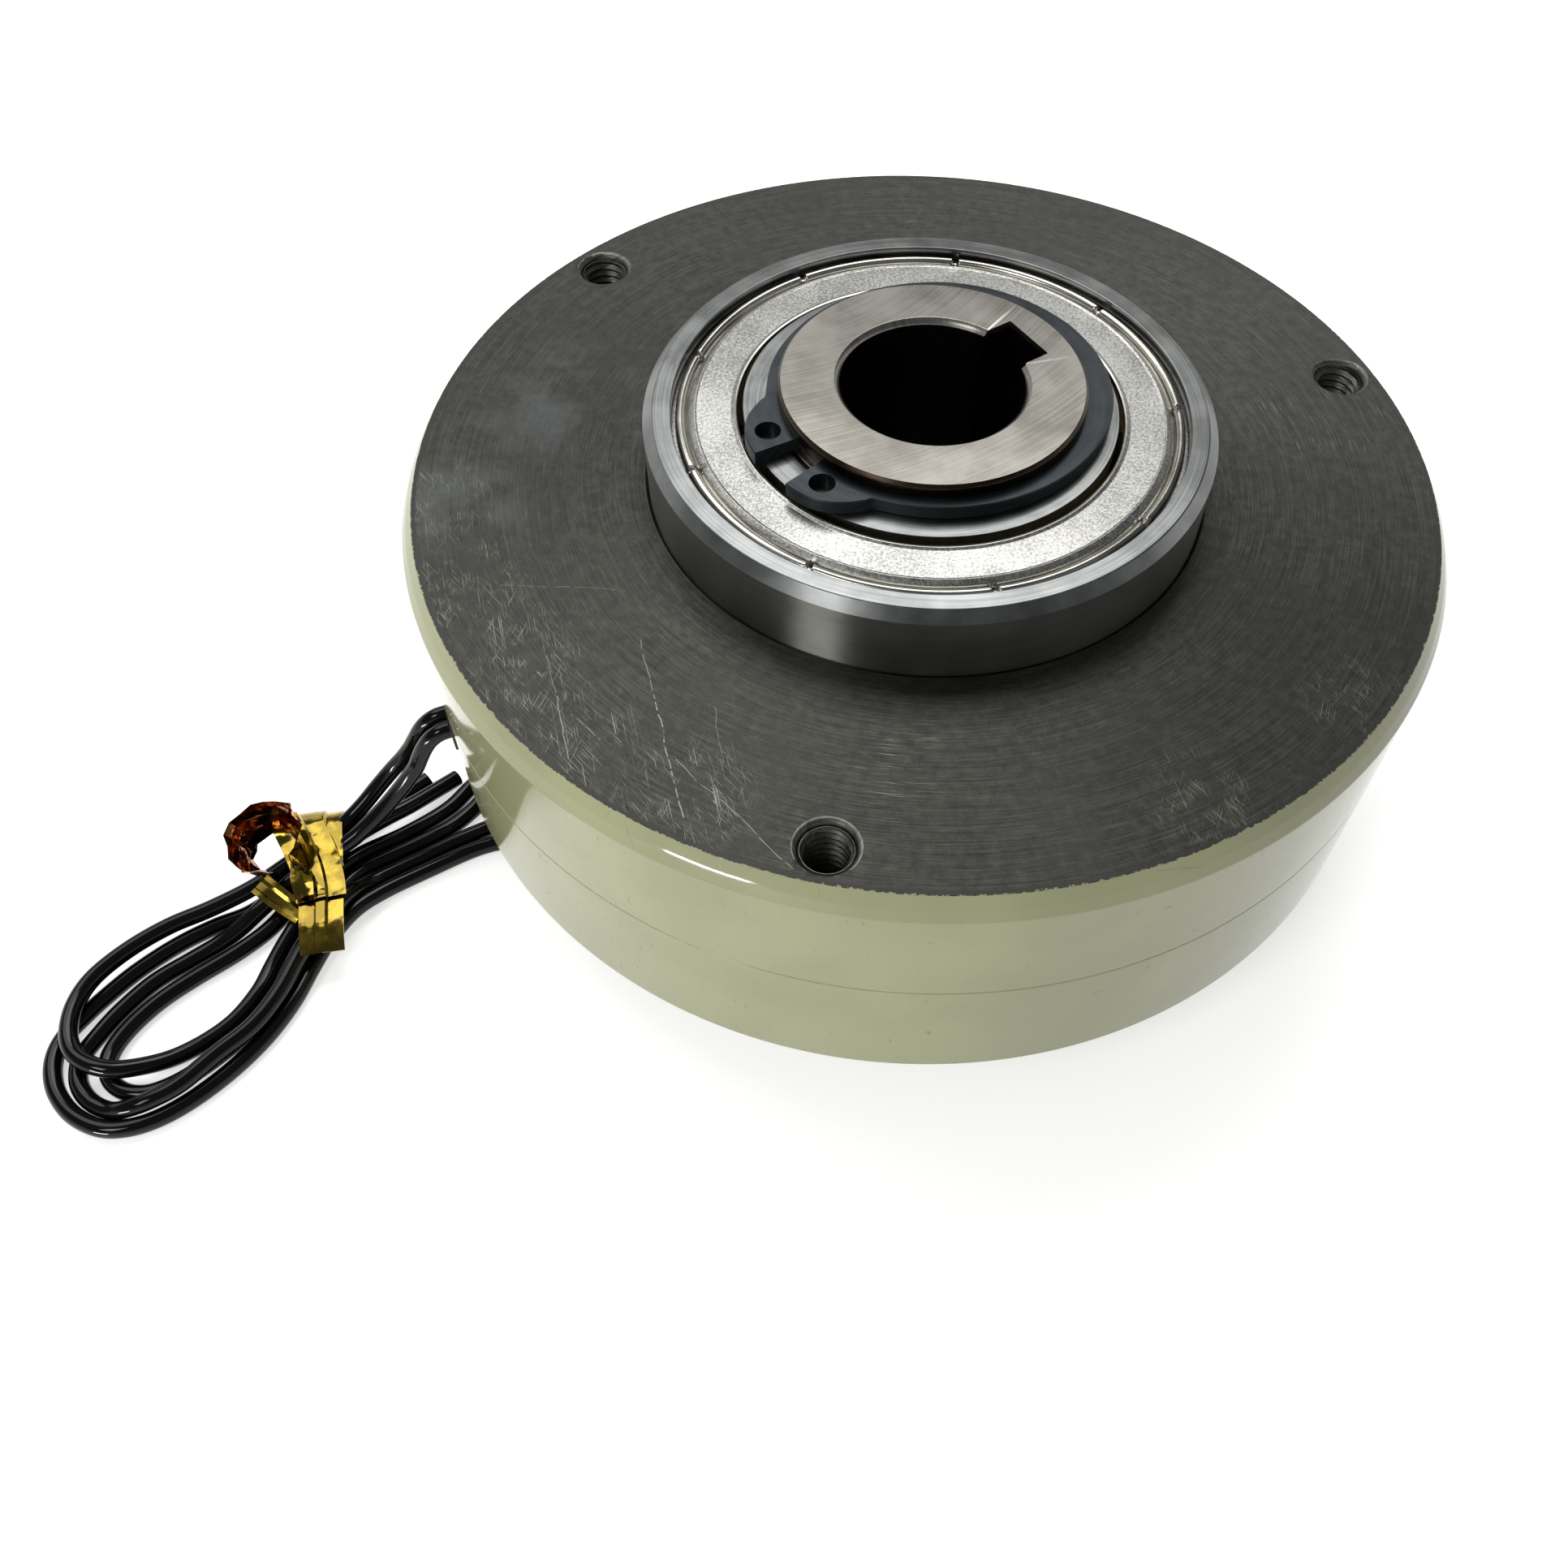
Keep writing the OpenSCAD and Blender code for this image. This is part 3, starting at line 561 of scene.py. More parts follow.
@dataclass(frozen=True)
class StovedEnamel:
    """Green stoving enamel, sprayed on turned steel. Gives a deep gloss with a faint ripple and hairlines."""

    name: str = "stoved_enamel_sage"
    light: str = "#9c9e78"
    deep: str = "#939571"
    scuffed: str = "#5f6350"
    ripple_mm: float = 5.0
    roughness: float = 0.09

    def material(self) -> bpy.types.Material:
        """Makes the material.

        Returns:
            The material.
        """
        p = Pattern(self.name)
        cloud = p.add("TexNoise", p.stretched((14, 14, 14)), Scale=1.0, Detail=2, Roughness=0.5)
        cloud = p.add("MapRange", cloud, 0.35, 0.65, interpolation_type="SMOOTHSTEP")
        colour = p.add("Mix", inputs={0: cloud, 6: self.deep, 7: self.light}, data_type="RGBA", output=2)
        hair = p.add("Math", p.scratches(24, 14, 0.14, 3.0, 0.79), p.scratches(-52, 9, 0.14, 11.0, 0.79),
                     operation="MAXIMUM")
        faint = p.add("Math", hair, 0.4, operation="MULTIPLY")
        colour = p.add("Mix", inputs={0: faint, 6: colour, 7: self.scuffed}, data_type="RGBA", output=2)
        rough = p.add("Math", self.roughness, p.add("Math", hair, 0.2, operation="MULTIPLY"), operation="ADD")
        peel = p.add("TexNoise", p.stretched((self.ripple_mm,) * 3), Scale=1.0, Detail=1, Roughness=0.5)
        return p.finish(colour, rough, 0.0, peel, 0.02, IOR=1.45)


@dataclass(frozen=True)
class Scratch:
    """One long scratch on the face: its two ends in mm, its width in mm and how bright it is."""

    start: tuple[float, float]
    end: tuple[float, float]
    width: float = 0.14
    strength: float = 0.8

    def mask(self, p: Pattern) -> bpy.types.NodeSocket:
        """1 on the scratch and 0 off it.

        With the origin at the start and X along the scratch, a point lies on it where x is between 0
        and the length and |y| is under half the width; a slow noise bends it and a finer one breaks it up.

        Args:
            p: the pattern that it is added to.
        Returns:
            The mask.
        """
        dx, dy = self.end[0] - self.start[0], self.end[1] - self.start[1]
        length = math.hypot(dx, dy)
        local = p.stretched((1, 1, 1), math.degrees(math.atan2(dy, dx)), (self.start[0], self.start[1], 0))
        x, y, _ = p.add("SeparateXYZ", local).node.outputs
        slow = p.add("TexNoise", p.stretched((4, 4, 4)), Scale=1.0, Detail=2, Roughness=0.5)
        slow = p.add("Math", p.add("Math", slow, 0.5, operation="SUBTRACT"), 0.9, operation="MULTIPLY")
        off = p.add("Math", p.add("Math", y, slow, operation="ADD"), operation="ABSOLUTE")
        from_middle = p.add("Math", p.add("Math", x, length / 2, operation="SUBTRACT"), operation="ABSOLUTE")
        inside = p.add("Math", from_middle, length / 2, operation="LESS_THAN")
        fine = p.add("TexNoise", p.stretched((0.7, 0.7, 0.7)), Scale=1.0, Detail=2, Roughness=0.5)
        broken = p.add("MapRange", fine, 0.36, 0.5, interpolation_type="SMOOTHSTEP")
        line = p.add("MapRange", off, self.width / 2, self.width, 1.0, 0.0, interpolation_type="SMOOTHSTEP")
        return p.add("Math", p.add("Math", line, inside, operation="MULTIPLY"),
                     p.add("Math", broken, self.strength, operation="MULTIPLY"), operation="MULTIPLY")


@dataclass(frozen=True)
class FacedSteel:
    """Low-carbon steel, faced on a lathe, with an oily film. Gives fine dark rings under pale scratches,
    with a painted bluish sheen and painted highlight bands in a few places.

    Spots are given as x, y and radius in mm. The tool's grooves are drawn coarser than they are, at
    groove_mm, so that they show.
    """

    name: str = "faced_steel_oiled"
    dark: str = "#32322e"
    mid: str = "#4c4c47"
    bright: str = "#a09e92"
    rim: str = "#24251f"
    groove_mm: float = 0.14
    edge_r: float = 43.1
    # Colour of the painted bluish sheen
    sheen: str = "#6e7374"
    knocked: tuple[tuple[float, float, float], ...] = (
        (-27.2, -29.6, 10), (-21.0, -35.0, 9), (-34.0, -22.5, 9), (-11.0, -38.6, 8), (-38.5, -13.5, 7),
        (26, -31, 7), (36, -18, 6),
    )
    # Round places of painted highlight bands, where light falls across the turning marks
    painted_highlight_spots: tuple[tuple[float, float, float], ...] = ((3.8, -32.1, 6), (-10.3, 35.4, 6), (33, 14, 8))
    # Round places of painted bluish sheen, where the face is lightened
    painted_sheen_spots: tuple[tuple[float, float, float], ...] = ((-33, 1, 10), (-37, -14, 8))
    scratches: tuple[Scratch, ...] = (
        Scratch((-18.0, -24.5), (-15.3, -29.9), 0.05, 0.4),
        Scratch((-15.2, -30.2), (-10.5, -39.9), 0.06, 0.55),
        Scratch((-24.5, -27.6), (-22.6, -31.0), 0.04, 0.35),
        Scratch((-22.4, -31.2), (-19.9, -36.7), 0.05, 0.5),
        Scratch((-12.3, -35.0), (-1.9, -42.4), 0.05, 0.4),
        Scratch((-30.4, -21.4), (-20.6, -19.7), 0.04, 0.25),
        Scratch((-20.9, -32.7), (-18.1, -34.5), 0.04, 0.4),
        Scratch((-10.9, -29.8), (-8.8, -34.6), 0.04, 0.25),
    )

    @staticmethod
    def spots(p: Pattern, places: Sequence[tuple[float, float, float]],
              ragged: float) -> bpy.types.NodeSocket:
        """Marks round spots.

        Args:
            p: the pattern that they are added to.
            places: x, y and radius of each spot in mm.
            ragged: size of the noise that breaks up their edges, in mm.
        Returns:
            1 in the middle of each spot and 0 outside.
        """
        total = p.add("CombineXYZ", 0.0, 0.0)
        for x, y, size in places:
            local = p.stretched((size, size, 40), 0, (x, y, 33))
            away = p.add("VectorMath", local, operation="LENGTH", output="Value")
            spot = p.add("MapRange", away, 0.3, 1.0, 1.0, 0.0, interpolation_type="SMOOTHSTEP")
            total = p.add("Math", total, spot, operation="MAXIMUM")
        rags = p.add("TexNoise", p.stretched((ragged,) * 3), Scale=1.0, Detail=3, Roughness=0.7)
        rags = p.add("MapRange", rags, 0.38, 0.62, interpolation_type="SMOOTHSTEP")
        return p.add("Math", total, rags, operation="MULTIPLY")

    def ground(self, p: Pattern, radius: bpy.types.NodeSocket, angle: bpy.types.NodeSocket,
               cloud: bpy.types.NodeSocket) -> tuple[bpy.types.NodeSocket, bpy.types.NodeSocket]:
        """The face before it was scratched: lathe rings under fine mottle, with a painted bluish sheen
        and pale dashes that thicken into painted highlight bands.

        Args:
            p: the pattern that it is added to.
            radius, angle: place in mm and in turns.
            cloud: slow noise.
        Returns:
            The colour, and the rings and mottle as a height of 0 to 1.
        """
        ring_place = p.add("CombineXYZ", p.add("Math", radius, self.groove_mm, operation="DIVIDE"),
                           p.add("Math", angle, 22.0, operation="MULTIPLY"))
        rings = p.add("TexNoise", ring_place, Scale=1.0, Detail=3, Roughness=0.65)
        mottle = p.add("TexNoise", p.stretched((1.1, 1.1, 1.1)), Scale=1.0, Detail=4, Roughness=0.75)
        tone = p.add("Math", p.add("Math", rings, 0.55, operation="MULTIPLY"),
                     p.add("Math", mottle, 0.45, operation="MULTIPLY"), operation="ADD")
        pale = p.add("Math", p.add("MapRange", tone, 0.38, 0.64, interpolation_type="SMOOTHSTEP"),
                     p.add("MapRange", cloud, 0.3, 0.7, 0.45, 1.0, interpolation_type="SMOOTHSTEP"),
                     operation="MULTIPLY")
        colour = p.add("Mix", inputs={0: pale, 6: self.dark, 7: self.mid}, data_type="RGBA", output=2)
        # A painted bluish sheen, laid on in a few round places
        painted_sheen_share = p.add("Math", self.spots(p, self.painted_sheen_spots, 8), 0.3, operation="MULTIPLY")
        colour = p.add("Mix", inputs={0: painted_sheen_share, 6: colour, 7: self.sheen}, data_type="RGBA", output=2)
        # Pale dashes along the turning marks, thickened into painted highlight bands in a few round places
        dash_place = p.add("CombineXYZ", p.add("Math", radius, 0.11, operation="DIVIDE"),
                           p.add("Math", angle, 75.0, operation="MULTIPLY"), 4.0)
        dashes = p.add("TexNoise", dash_place, Scale=1.0, Detail=1, Roughness=0.5)
        painted_highlight_spots = p.add("Math", self.spots(p, self.painted_highlight_spots, 4), 0.3, operation="MULTIPLY")
        glint = p.add("Math", p.add("MapRange", dashes, 0.6, 0.7, interpolation_type="SMOOTHSTEP"),
                      p.add("Math", 0.07, painted_highlight_spots, operation="ADD"), operation="MULTIPLY")
        return p.add("Mix", inputs={0: glint, 6: colour, 7: self.bright}, data_type="RGBA", output=2), tone

    def scratched(self, p: Pattern) -> bpy.types.NodeSocket:
        """All the scratches: three layers of fine ones, strongest where the face was knocked, and long ones.

        Args:
            p: the pattern that they are added to.
        Returns:
            The mask.
        """
        fine = p.add("Math", p.scratches(-64, 4.0, 0.07, 2.0, 0.68), p.scratches(-38, 3.0, 0.06, 7.0, 0.685),
                     operation="MAXIMUM")
        fine = p.add("Math", fine, p.scratches(84, 3.0, 0.05, 12.0, 0.71), operation="MAXIMUM")
        share = p.add("MapRange", self.spots(p, self.knocked, 3), 0, 1, 0.03, 0.5,
                      interpolation_type="SMOOTHSTEP")
        fine = p.add("Math", fine, share, operation="MULTIPLY")
        for scratch in self.scratches:
            fine = p.add("Math", fine, scratch.mask(p), operation="MAXIMUM")
        return fine

    def material(self) -> bpy.types.Material:
        """Makes the material.

        Returns:
            The material.
        """
        p = Pattern(self.name)
        radius, angle, _ = p.polar()
        cloud = p.add("TexNoise", p.stretched((12, 12, 12)), Scale=1.0, Detail=3, Roughness=0.6)
        colour, tone = self.ground(p, radius, angle, cloud)
        fine = self.scratched(p)
        colour = p.add("Mix", inputs={0: fine, 6: colour, 7: self.bright}, data_type="RGBA", output=2)
        chips = p.add("TexNoise", p.stretched((0.45,) * 3), Scale=1.0, Detail=4, Roughness=0.8)
        worn = p.add("Math", radius, p.add("Math", chips, 0.8, operation="MULTIPLY"), operation="ADD")
        rim = p.add("MapRange", worn, self.edge_r - 0.1, self.edge_r + 0.1, interpolation_type="SMOOTHSTEP")
        colour = p.add("Mix", inputs={0: rim, 6: colour, 7: self.rim}, data_type="RGBA", output=2)
        paint = p.add("MapRange", worn, self.edge_r + 0.36, self.edge_r + 0.42,
                      interpolation_type="SMOOTHSTEP")
        colour = p.add("Mix", inputs={0: paint, 6: colour, 7: StovedEnamel.deep}, data_type="RGBA", output=2)
        rough = p.add("Math", 0.38, p.add("Math", cloud, 0.2, operation="MULTIPLY"), operation="ADD")
        rough = p.add("Math", rough, p.add("Math", fine, 0.1, operation="MULTIPLY"), operation="SUBTRACT")
        height = p.add("Math", tone, p.add("Math", fine, 0.6, operation="MULTIPLY"), operation="SUBTRACT")
        metallic = p.add("MapRange", rim, 0, 1, 0.8, 0.2, interpolation_type="SMOOTHSTEP")
        p.turning_marks()
        return p.finish(colour, rough, metallic, height, 0.004, Anisotropic=0.75)


@dataclass(frozen=True)
class PlainMetal:
    """Metal with a tool's or grinder's marks round an axis. Gives fine rings, or bands on an upright wall."""

    name: str
    colour: str
    shade: str
    roughness: float = 0.3
    metallic: float = 1.0
    mark_mm: float = 0.3
    depth_mm: float = 0.003
    along_axis: bool = False
    stretch: float = 0.0
    centre: tuple[float, float] = (0.0, 0.0)

    def material(self) -> bpy.types.Material:
        """Makes the material.

        Returns:
            The material.
        """
        p = Pattern(self.name)
        radius, angle, height = p.polar(self.centre)
        across = height if self.along_axis else p.add("Math", radius, height, operation="ADD")
        mark_place = p.add("CombineXYZ", p.add("Math", across, self.mark_mm, operation="DIVIDE"),
                           p.add("Math", angle, 7.0, operation="MULTIPLY"))
        marks = p.add("TexNoise", mark_place, Scale=1.0, Detail=3, Roughness=0.6)
        cloud = p.add("TexNoise", p.stretched((5, 5, 5)), Scale=1.0, Detail=3, Roughness=0.6)
        tone = p.add("Math", p.add("Math", marks, cloud, operation="ADD"), 0.5, operation="MULTIPLY")
        tone = p.add("MapRange", tone, 0.38, 0.62, interpolation_type="SMOOTHSTEP")
        colour = p.add("Mix", inputs={0: tone, 6: self.shade, 7: self.colour}, data_type="RGBA", output=2)
        rough = p.add("Math", self.roughness - 0.06, p.add("Math", cloud, 0.12, operation="MULTIPLY"),
                      operation="ADD")
        if self.stretch:
            p.turning_marks()
        return p.finish(colour, rough, self.metallic, marks, self.depth_mm, Anisotropic=self.stretch)


@dataclass(frozen=True)
class GrainyCoat:
    """Zinc plate, moulded plastic, powder, felt or rubber. Gives a soft surface of fine grains."""

    name: str
    colour: str
    shade: str
    grain_mm: float
    depth_mm: float
    roughness: float
    metallic: float = 0.0

    def material(self) -> bpy.types.Material:
        """Makes the material.

        Returns:
            The material.
        """
        p = Pattern(self.name)
        grain = p.add("TexNoise", p.stretched((self.grain_mm,) * 3), Scale=1.0, Detail=2, Roughness=0.7)
        cloud = p.add("TexNoise", p.stretched((6, 6, 6)), Scale=1.0, Detail=2, Roughness=0.5)
        tone = p.add("Math", p.add("Math", grain, 0.7, operation="MULTIPLY"),
                     p.add("Math", cloud, 0.3, operation="MULTIPLY"), operation="ADD")
        tone = p.add("MapRange", tone, 0.36, 0.64, interpolation_type="SMOOTHSTEP")
        colour = p.add("Mix", inputs={0: tone, 6: self.shade, 7: self.colour}, data_type="RGBA", output=2)
        rough = p.add("Math", self.roughness - 0.08, p.add("Math", grain, 0.16, operation="MULTIPLY"),
                      operation="ADD")
        return p.finish(colour, rough, self.metallic, grain, self.depth_mm)


@dataclass(frozen=True)
class Sleeving:
    """Soft PVC, extruded over a stranded lead. Gives a near-black gloss with thin highlights."""

    name: str = "extruded_pvc_black"
    deep: str = "#050607"
    light: str = "#0b0c0d"

    def material(self) -> bpy.types.Material:
        """Makes the material.

        Returns:
            The material.
        """
        p = Pattern(self.name)
        smear = p.add("TexNoise", p.stretched((4, 4, 4)), Scale=1.0, Detail=3, Roughness=0.6)
        rough = p.add("MapRange", smear, 0.3, 0.8, 0.06, 0.15, interpolation_type="SMOOTHSTEP")
        colour = p.add("Mix", inputs={0: smear, 6: self.deep, 7: self.light}, data_type="RGBA", output=2)
        wave = p.add("TexNoise", p.stretched((0.8, 0.8, 0.8)), Scale=1.0, Detail=1, Roughness=0.5)
        return p.finish(colour, rough, 0.0, wave, 0.004, IOR=1.34)


@dataclass(frozen=True)
class MetallicFoil:
    """Metallised film on a flat tie, gold or copper. Gives clear, slightly wavy mirror panels."""

    name: str = "metallised_film_gold"
    light: str = "#ab9132"
    deep: str = "#7e6a20"
    wave_mm: float = 2.4

    def material(self) -> bpy.types.Material:
        """Makes the material.

        Returns:
            The material.
        """
        p = Pattern(self.name)
        tone = p.add("TexNoise", p.stretched((2.6, 2.6, 2.6)), Scale=1.0, Detail=3, Roughness=0.6)
        share = p.add("MapRange", tone, 0.4, 0.62, interpolation_type="SMOOTHSTEP")
        colour = p.add("Mix", inputs={0: share, 6: self.deep, 7: self.light}, data_type="RGBA", output=2)
        rough = p.add("MapRange", tone, 0.3, 0.7, 0.06, 0.14, interpolation_type="SMOOTHSTEP")
        wave = p.add("TexNoise", p.stretched((self.wave_mm,) * 3, 22), Scale=1.0, Detail=2, Roughness=0.5)
        return p.finish(colour, rough, 1.0, wave, 0.12, Coat_Weight=0.4)


@dataclass(frozen=True)
class WoundWire:
    """Enamelled copper wire, wound in layers. Gives a row of round turns with amber gloss."""

    name: str = "enamelled_copper_winding"
    wire_mm: float = 0.4
    deep: str = "#5a2a14"
    light: str = "#b8632c"

    def material(self) -> bpy.types.Material:
        """Makes the material.

        Returns:
            The material.
        """
        p = Pattern(self.name)
        turns = p.add("TexWave", p.place, wave_type="BANDS", bands_direction="Z", Distortion=0.4, Detail=1.0,
                      Scale=1 / (20 * self.wire_mm * MM), output="Fac")
        colour = p.add("Mix", inputs={0: turns, 6: self.deep, 7: self.light}, data_type="RGBA", output=2)
        return p.finish(colour, 0.28, 0.8, turns, 0.12)


class Finish(Enum):
    """The finishes of the brake, each made once."""

    ENAMEL = StovedEnamel()
    FACED = FacedSteel()
    # Turned steel left bare: dull grey with coarse rings
    BORED = PlainMetal("turned_steel_bare", "#6d6c66", "#4c4b46", 0.42, mark_mm=0.35, depth_mm=0.006)
    # Ground bearing steel: light grey and nearly plain
    RING = PlainMetal("bearing_steel_ground", "#8f918f", "#6d6f6e", 0.3, mark_mm=0.16, depth_mm=0.001)
    # The same steel honed, with highlights that stretch up the wall; its colour is darkened as painted shade
    # for its dark reflection
    SIDE = PlainMetal("bearing_steel_honed_painted_shade", "#62635e", "#5b5c57", 0.34, mark_mm=0.6, depth_mm=0.0005,
                      along_axis=True, stretch=1.0)
    # Pressed sheet with zinc plate: pale and grainy
    SHIELD = GrainyCoat("zinc_plate_pressed", "#bdbcb7", "#7d7d79", 0.22, 0.006, 0.36, 1.0)
    # The plated sheet where it is rolled: pale and smooth
    BEAD = PlainMetal("zinc_plate_rolled", "#c3c0b8", "#9c9a92", 0.24, mark_mm=0.4, depth_mm=0.002)
    # Ground shaft steel: warm grey with arcs from a wheel beside the shaft
    SHAFT = PlainMetal("shaft_steel_ground", "#94918a", "#76736c", 0.3, mark_mm=0.14, depth_mm=0.002,
                       centre=(-27.0, 24.0))
    # The bore: near black, as painted shade for the shadow down the hole
    BORE = PlainMetal("shaft_bore_painted_shade", "#2b2b2b", "#1a1a1b", 0.4, mark_mm=0.5, depth_mm=0.003,
                      along_axis=True)
    # Shaft steel coloured dark brown, on its outer wall at the top end
    DARK_BROWN = PlainMetal("shaft_steel_dark_brown", "#4a3f33", "#231c17", 0.26, mark_mm=0.4, depth_mm=0.004,
                         along_axis=True)
    # Phosphated spring steel: blue-black and matt
    CLIP = PlainMetal("spring_steel_phosphated", "#34393c", "#25292b", 0.36, 0.7, 0.6, 0.002)
    # Black oxide: near black and satin
    BLACK = GrainyCoat("black_oxide_steel", "#26272a", "#17181a", 0.35, 0.004, 0.38, 0.7)
    # Turned soft iron: mid grey rings
    ROTOR = PlainMetal("soft_iron_turned", "#72716d", "#56554f", 0.36, mark_mm=0.3, depth_mm=0.005)
    # Turned brass: yellow bands
    BRASS = PlainMetal("free_cutting_brass", "#c79f4d", "#a88138", 0.26, mark_mm=0.25, depth_mm=0.003,
                       along_axis=True)
    # Polished steel: clear mirrors
    BALL = PlainMetal("chrome_steel_polished", "#b9babd", "#aeb0b3", 0.08, mark_mm=2.0, depth_mm=0.0)
    # Glass-filled nylon: cream and satin
    CAGE = GrainyCoat("glass_filled_nylon", "#cdbb88", "#b9a672", 0.3, 0.006, 0.5)
    # Moulded polyester: ivory and satin
    BOBBIN = GrainyCoat("polyester_moulded", "#d9d2ba", "#c9c1a7", 0.4, 0.004, 0.42)
    # Loose iron powder: dark matt crumbs
    POWDER = GrainyCoat("iron_powder_loose", "#6b6862", "#3c3a37", 0.18, 0.05, 0.62, 0.6)
    # Wool felt: dull brown-grey nap
    FELT = GrainyCoat("wool_felt", "#8d8268", "#6d6450", 0.3, 0.08, 0.95)
    # Moulded rubber: dull black
    RUBBER = GrainyCoat("rubber_moulded_black", "#171717", "#0d0d0d", 0.5, 0.01, 0.55)
    LEAD = Sleeving()
    FOIL = MetallicFoil()
    COPPER = MetallicFoil("metallised_film_copper", "#a8623a", "#6a3a20", 1.2)
    WINDING = WoundWire()

    @property
    def material(self) -> bpy.types.Material:
        """The material, made on first use."""
        made = bpy.data.materials.get(self.value.name)
        return made if made is not None else self.value.material()


# The photograph's camera, the floor and the lamps

@dataclass
class PhotoCamera:
    """The camera as it was solved from the circles and holes in the photograph."""

    spot: tuple[float, float, float] = (10.410, -93.344, 115.42)
    heading: float = -0.0671
    dip: float = 0.977
    roll: float = 0.0345
    frame_turn: float = 6.3636
    lens: float = 32.52
    sensor: float = 36.0
    shift: tuple[float, float] = (-0.0350, 0.0301)

    def build(self) -> bpy.types.Object:
        """Places the camera: its view line comes from heading and dip, then it rolls, then it turns about Z.

        Returns:
            The camera.
        """
        sin_h, cos_h = math.sin(self.heading), math.cos(self.heading)
        forward = Vector((sin_h * math.cos(self.dip), cos_h * math.cos(self.dip), -math.sin(self.dip)))
        level_right = Vector((cos_h, -sin_h, 0))
        level_up = level_right.cross(forward)
        right = math.cos(self.roll) * level_right + math.sin(self.roll) * level_up
        up = -math.sin(self.roll) * level_right + math.cos(self.roll) * level_up
        axes = Matrix((right, up, -forward)).transposed().to_4x4()
        data = bpy.data.cameras.new("photo_camera")
        data.sensor_fit, data.sensor_width, data.lens = "HORIZONTAL", self.sensor, self.lens
        data.shift_x, data.shift_y = self.shift
        data.clip_start, data.clip_end = 0.005, 20
        camera = bpy.data.objects.new("photo_camera", data)
        bpy.context.scene.collection.objects.link(camera)
        turn = Matrix.Rotation(math.radians(self.frame_turn), 4, "Z")
        camera.matrix_world = Matrix.Translation(Vector(self.spot) * MM) @ turn @ axes
        bpy.context.scene.camera = camera
        return camera


@dataclass
class Lamp:
    """A soft lamp that points at a spot: square, or as tall as it says."""

    name: str
    spot: tuple[float, float, float]
    aim: tuple[float, float, float]
    size: float
    power: float
    tall: Optional[float] = None

    def build(self) -> None:
        """Makes the lamp, with sizes in mm."""
        data = bpy.data.lights.new(self.name, "AREA")
        data.shape, data.size, data.size_y = "RECTANGLE", self.size * MM, (self.tall or self.size) * MM
        data.energy = self.power
        lamp = bpy.data.objects.new(self.name, data)
        bpy.context.scene.collection.objects.link(lamp)
        lamp.location = Vector(self.spot) * MM
        lamp.rotation_euler = (Vector(self.aim) - Vector(self.spot)).to_track_quat("-Z", "Y").to_euler()


@dataclass
class Studio:
    """A white floor that runs up into a white horizon, a grey ceiling, and soft lamps."""

    floor_half: float = 3000
    ceiling: str = "#66686a"
    horizon: tuple[float, float] = (0.2, 0.42)
    fill: tuple[float, float] = (0.5, 0.16)
    lamps: tuple[Lamp, ...] = (
        Lamp("soft_box_ceiling", (-70, 370, 660), (0, 0, 30), 400, 2.5),
        Lamp("soft_box_window", (-400, 200, 540), (0, 0, 20), 380, 1.2),
        Lamp("soft_box_near", (-245, -405, 515), (0, 0, 30), 170, 0.8),
        Lamp("strip_lamp_low", (-235, -500, 50), (0, 0, 30), 150, 1.2, 45),
    )

    @staticmethod
    def seen_white(tree: Tree) -> bpy.types.NodeSocket:
        """Tells the rays that see white from those that light things.

        Args:
            tree: the node tree.
        Returns:
            1 for rays from the camera, off a mirror or through glass, and 0 for the others.
        """
        path = tree.add("LightPath").node.outputs
        either = tree.add("Math", path["Is Camera Ray"], path["Is Glossy Ray"], operation="MAXIMUM")
        return tree.add("Math", either, path["Is Transmission Ray"], operation="MAXIMUM")

    def build(self) -> None:
        """Makes the world, the floor and the lamps."""
        world = bpy.data.worlds.new("white_room")
        bpy.context.scene.world = world
        world.use_nodes = True
        tree = Tree(world.node_tree)
        x, _, z = tree.add("SeparateXYZ", tree.add("TexCoord", output="Generated")).node.outputs
        rise = tree.add("MapRange", z, *self.horizon, interpolation_type="SMOOTHSTEP")
        room = tree.add("Mix", inputs={0: rise, 6: "#ffffff", 7: self.ceiling}, data_type="RGBA", output=2)
        dim = tree.add("Background", "#ffffff", tree.add("MapRange", x, -1.0, 1.0, *self.fill))
        white = tree.add("Background", room, 1.0)
        tree.add("OutputWorld", tree.add("MixShader", self.seen_white(tree), dim, white))
        half = self.floor_half
        corners = np.array([[-half, -half, 0], [half, -half, 0], [half, half, 0], [-half, half, 0]], float)
        floor = make("floor", Shell(corners, [(0, 1, 2, 3)], np.zeros(1, int)), [self.floor_finish()])
        for lamp in self.lamps:
            lamp.build()

    def floor_finish(self) -> bpy.types.Material:
        """White paper that glows for the camera and for mirrors, and keeps the object's shadow faintly.

        Returns:
            The material.
        """
        material = bpy.data.materials.new("paper_backdrop_white")
        material.use_nodes = True
        tree = Tree(material.node_tree)
        paper = tree.add("BsdfDiffuse", "#e9e9e7")
        lit = tree.add("AddShader", paper, tree.add("Emission", "#ffffff", 0.6))
        tree.add("OutputMaterial", tree.add("MixShader", self.seen_white(tree), paper, lit))
        return material


# The leads and their tie

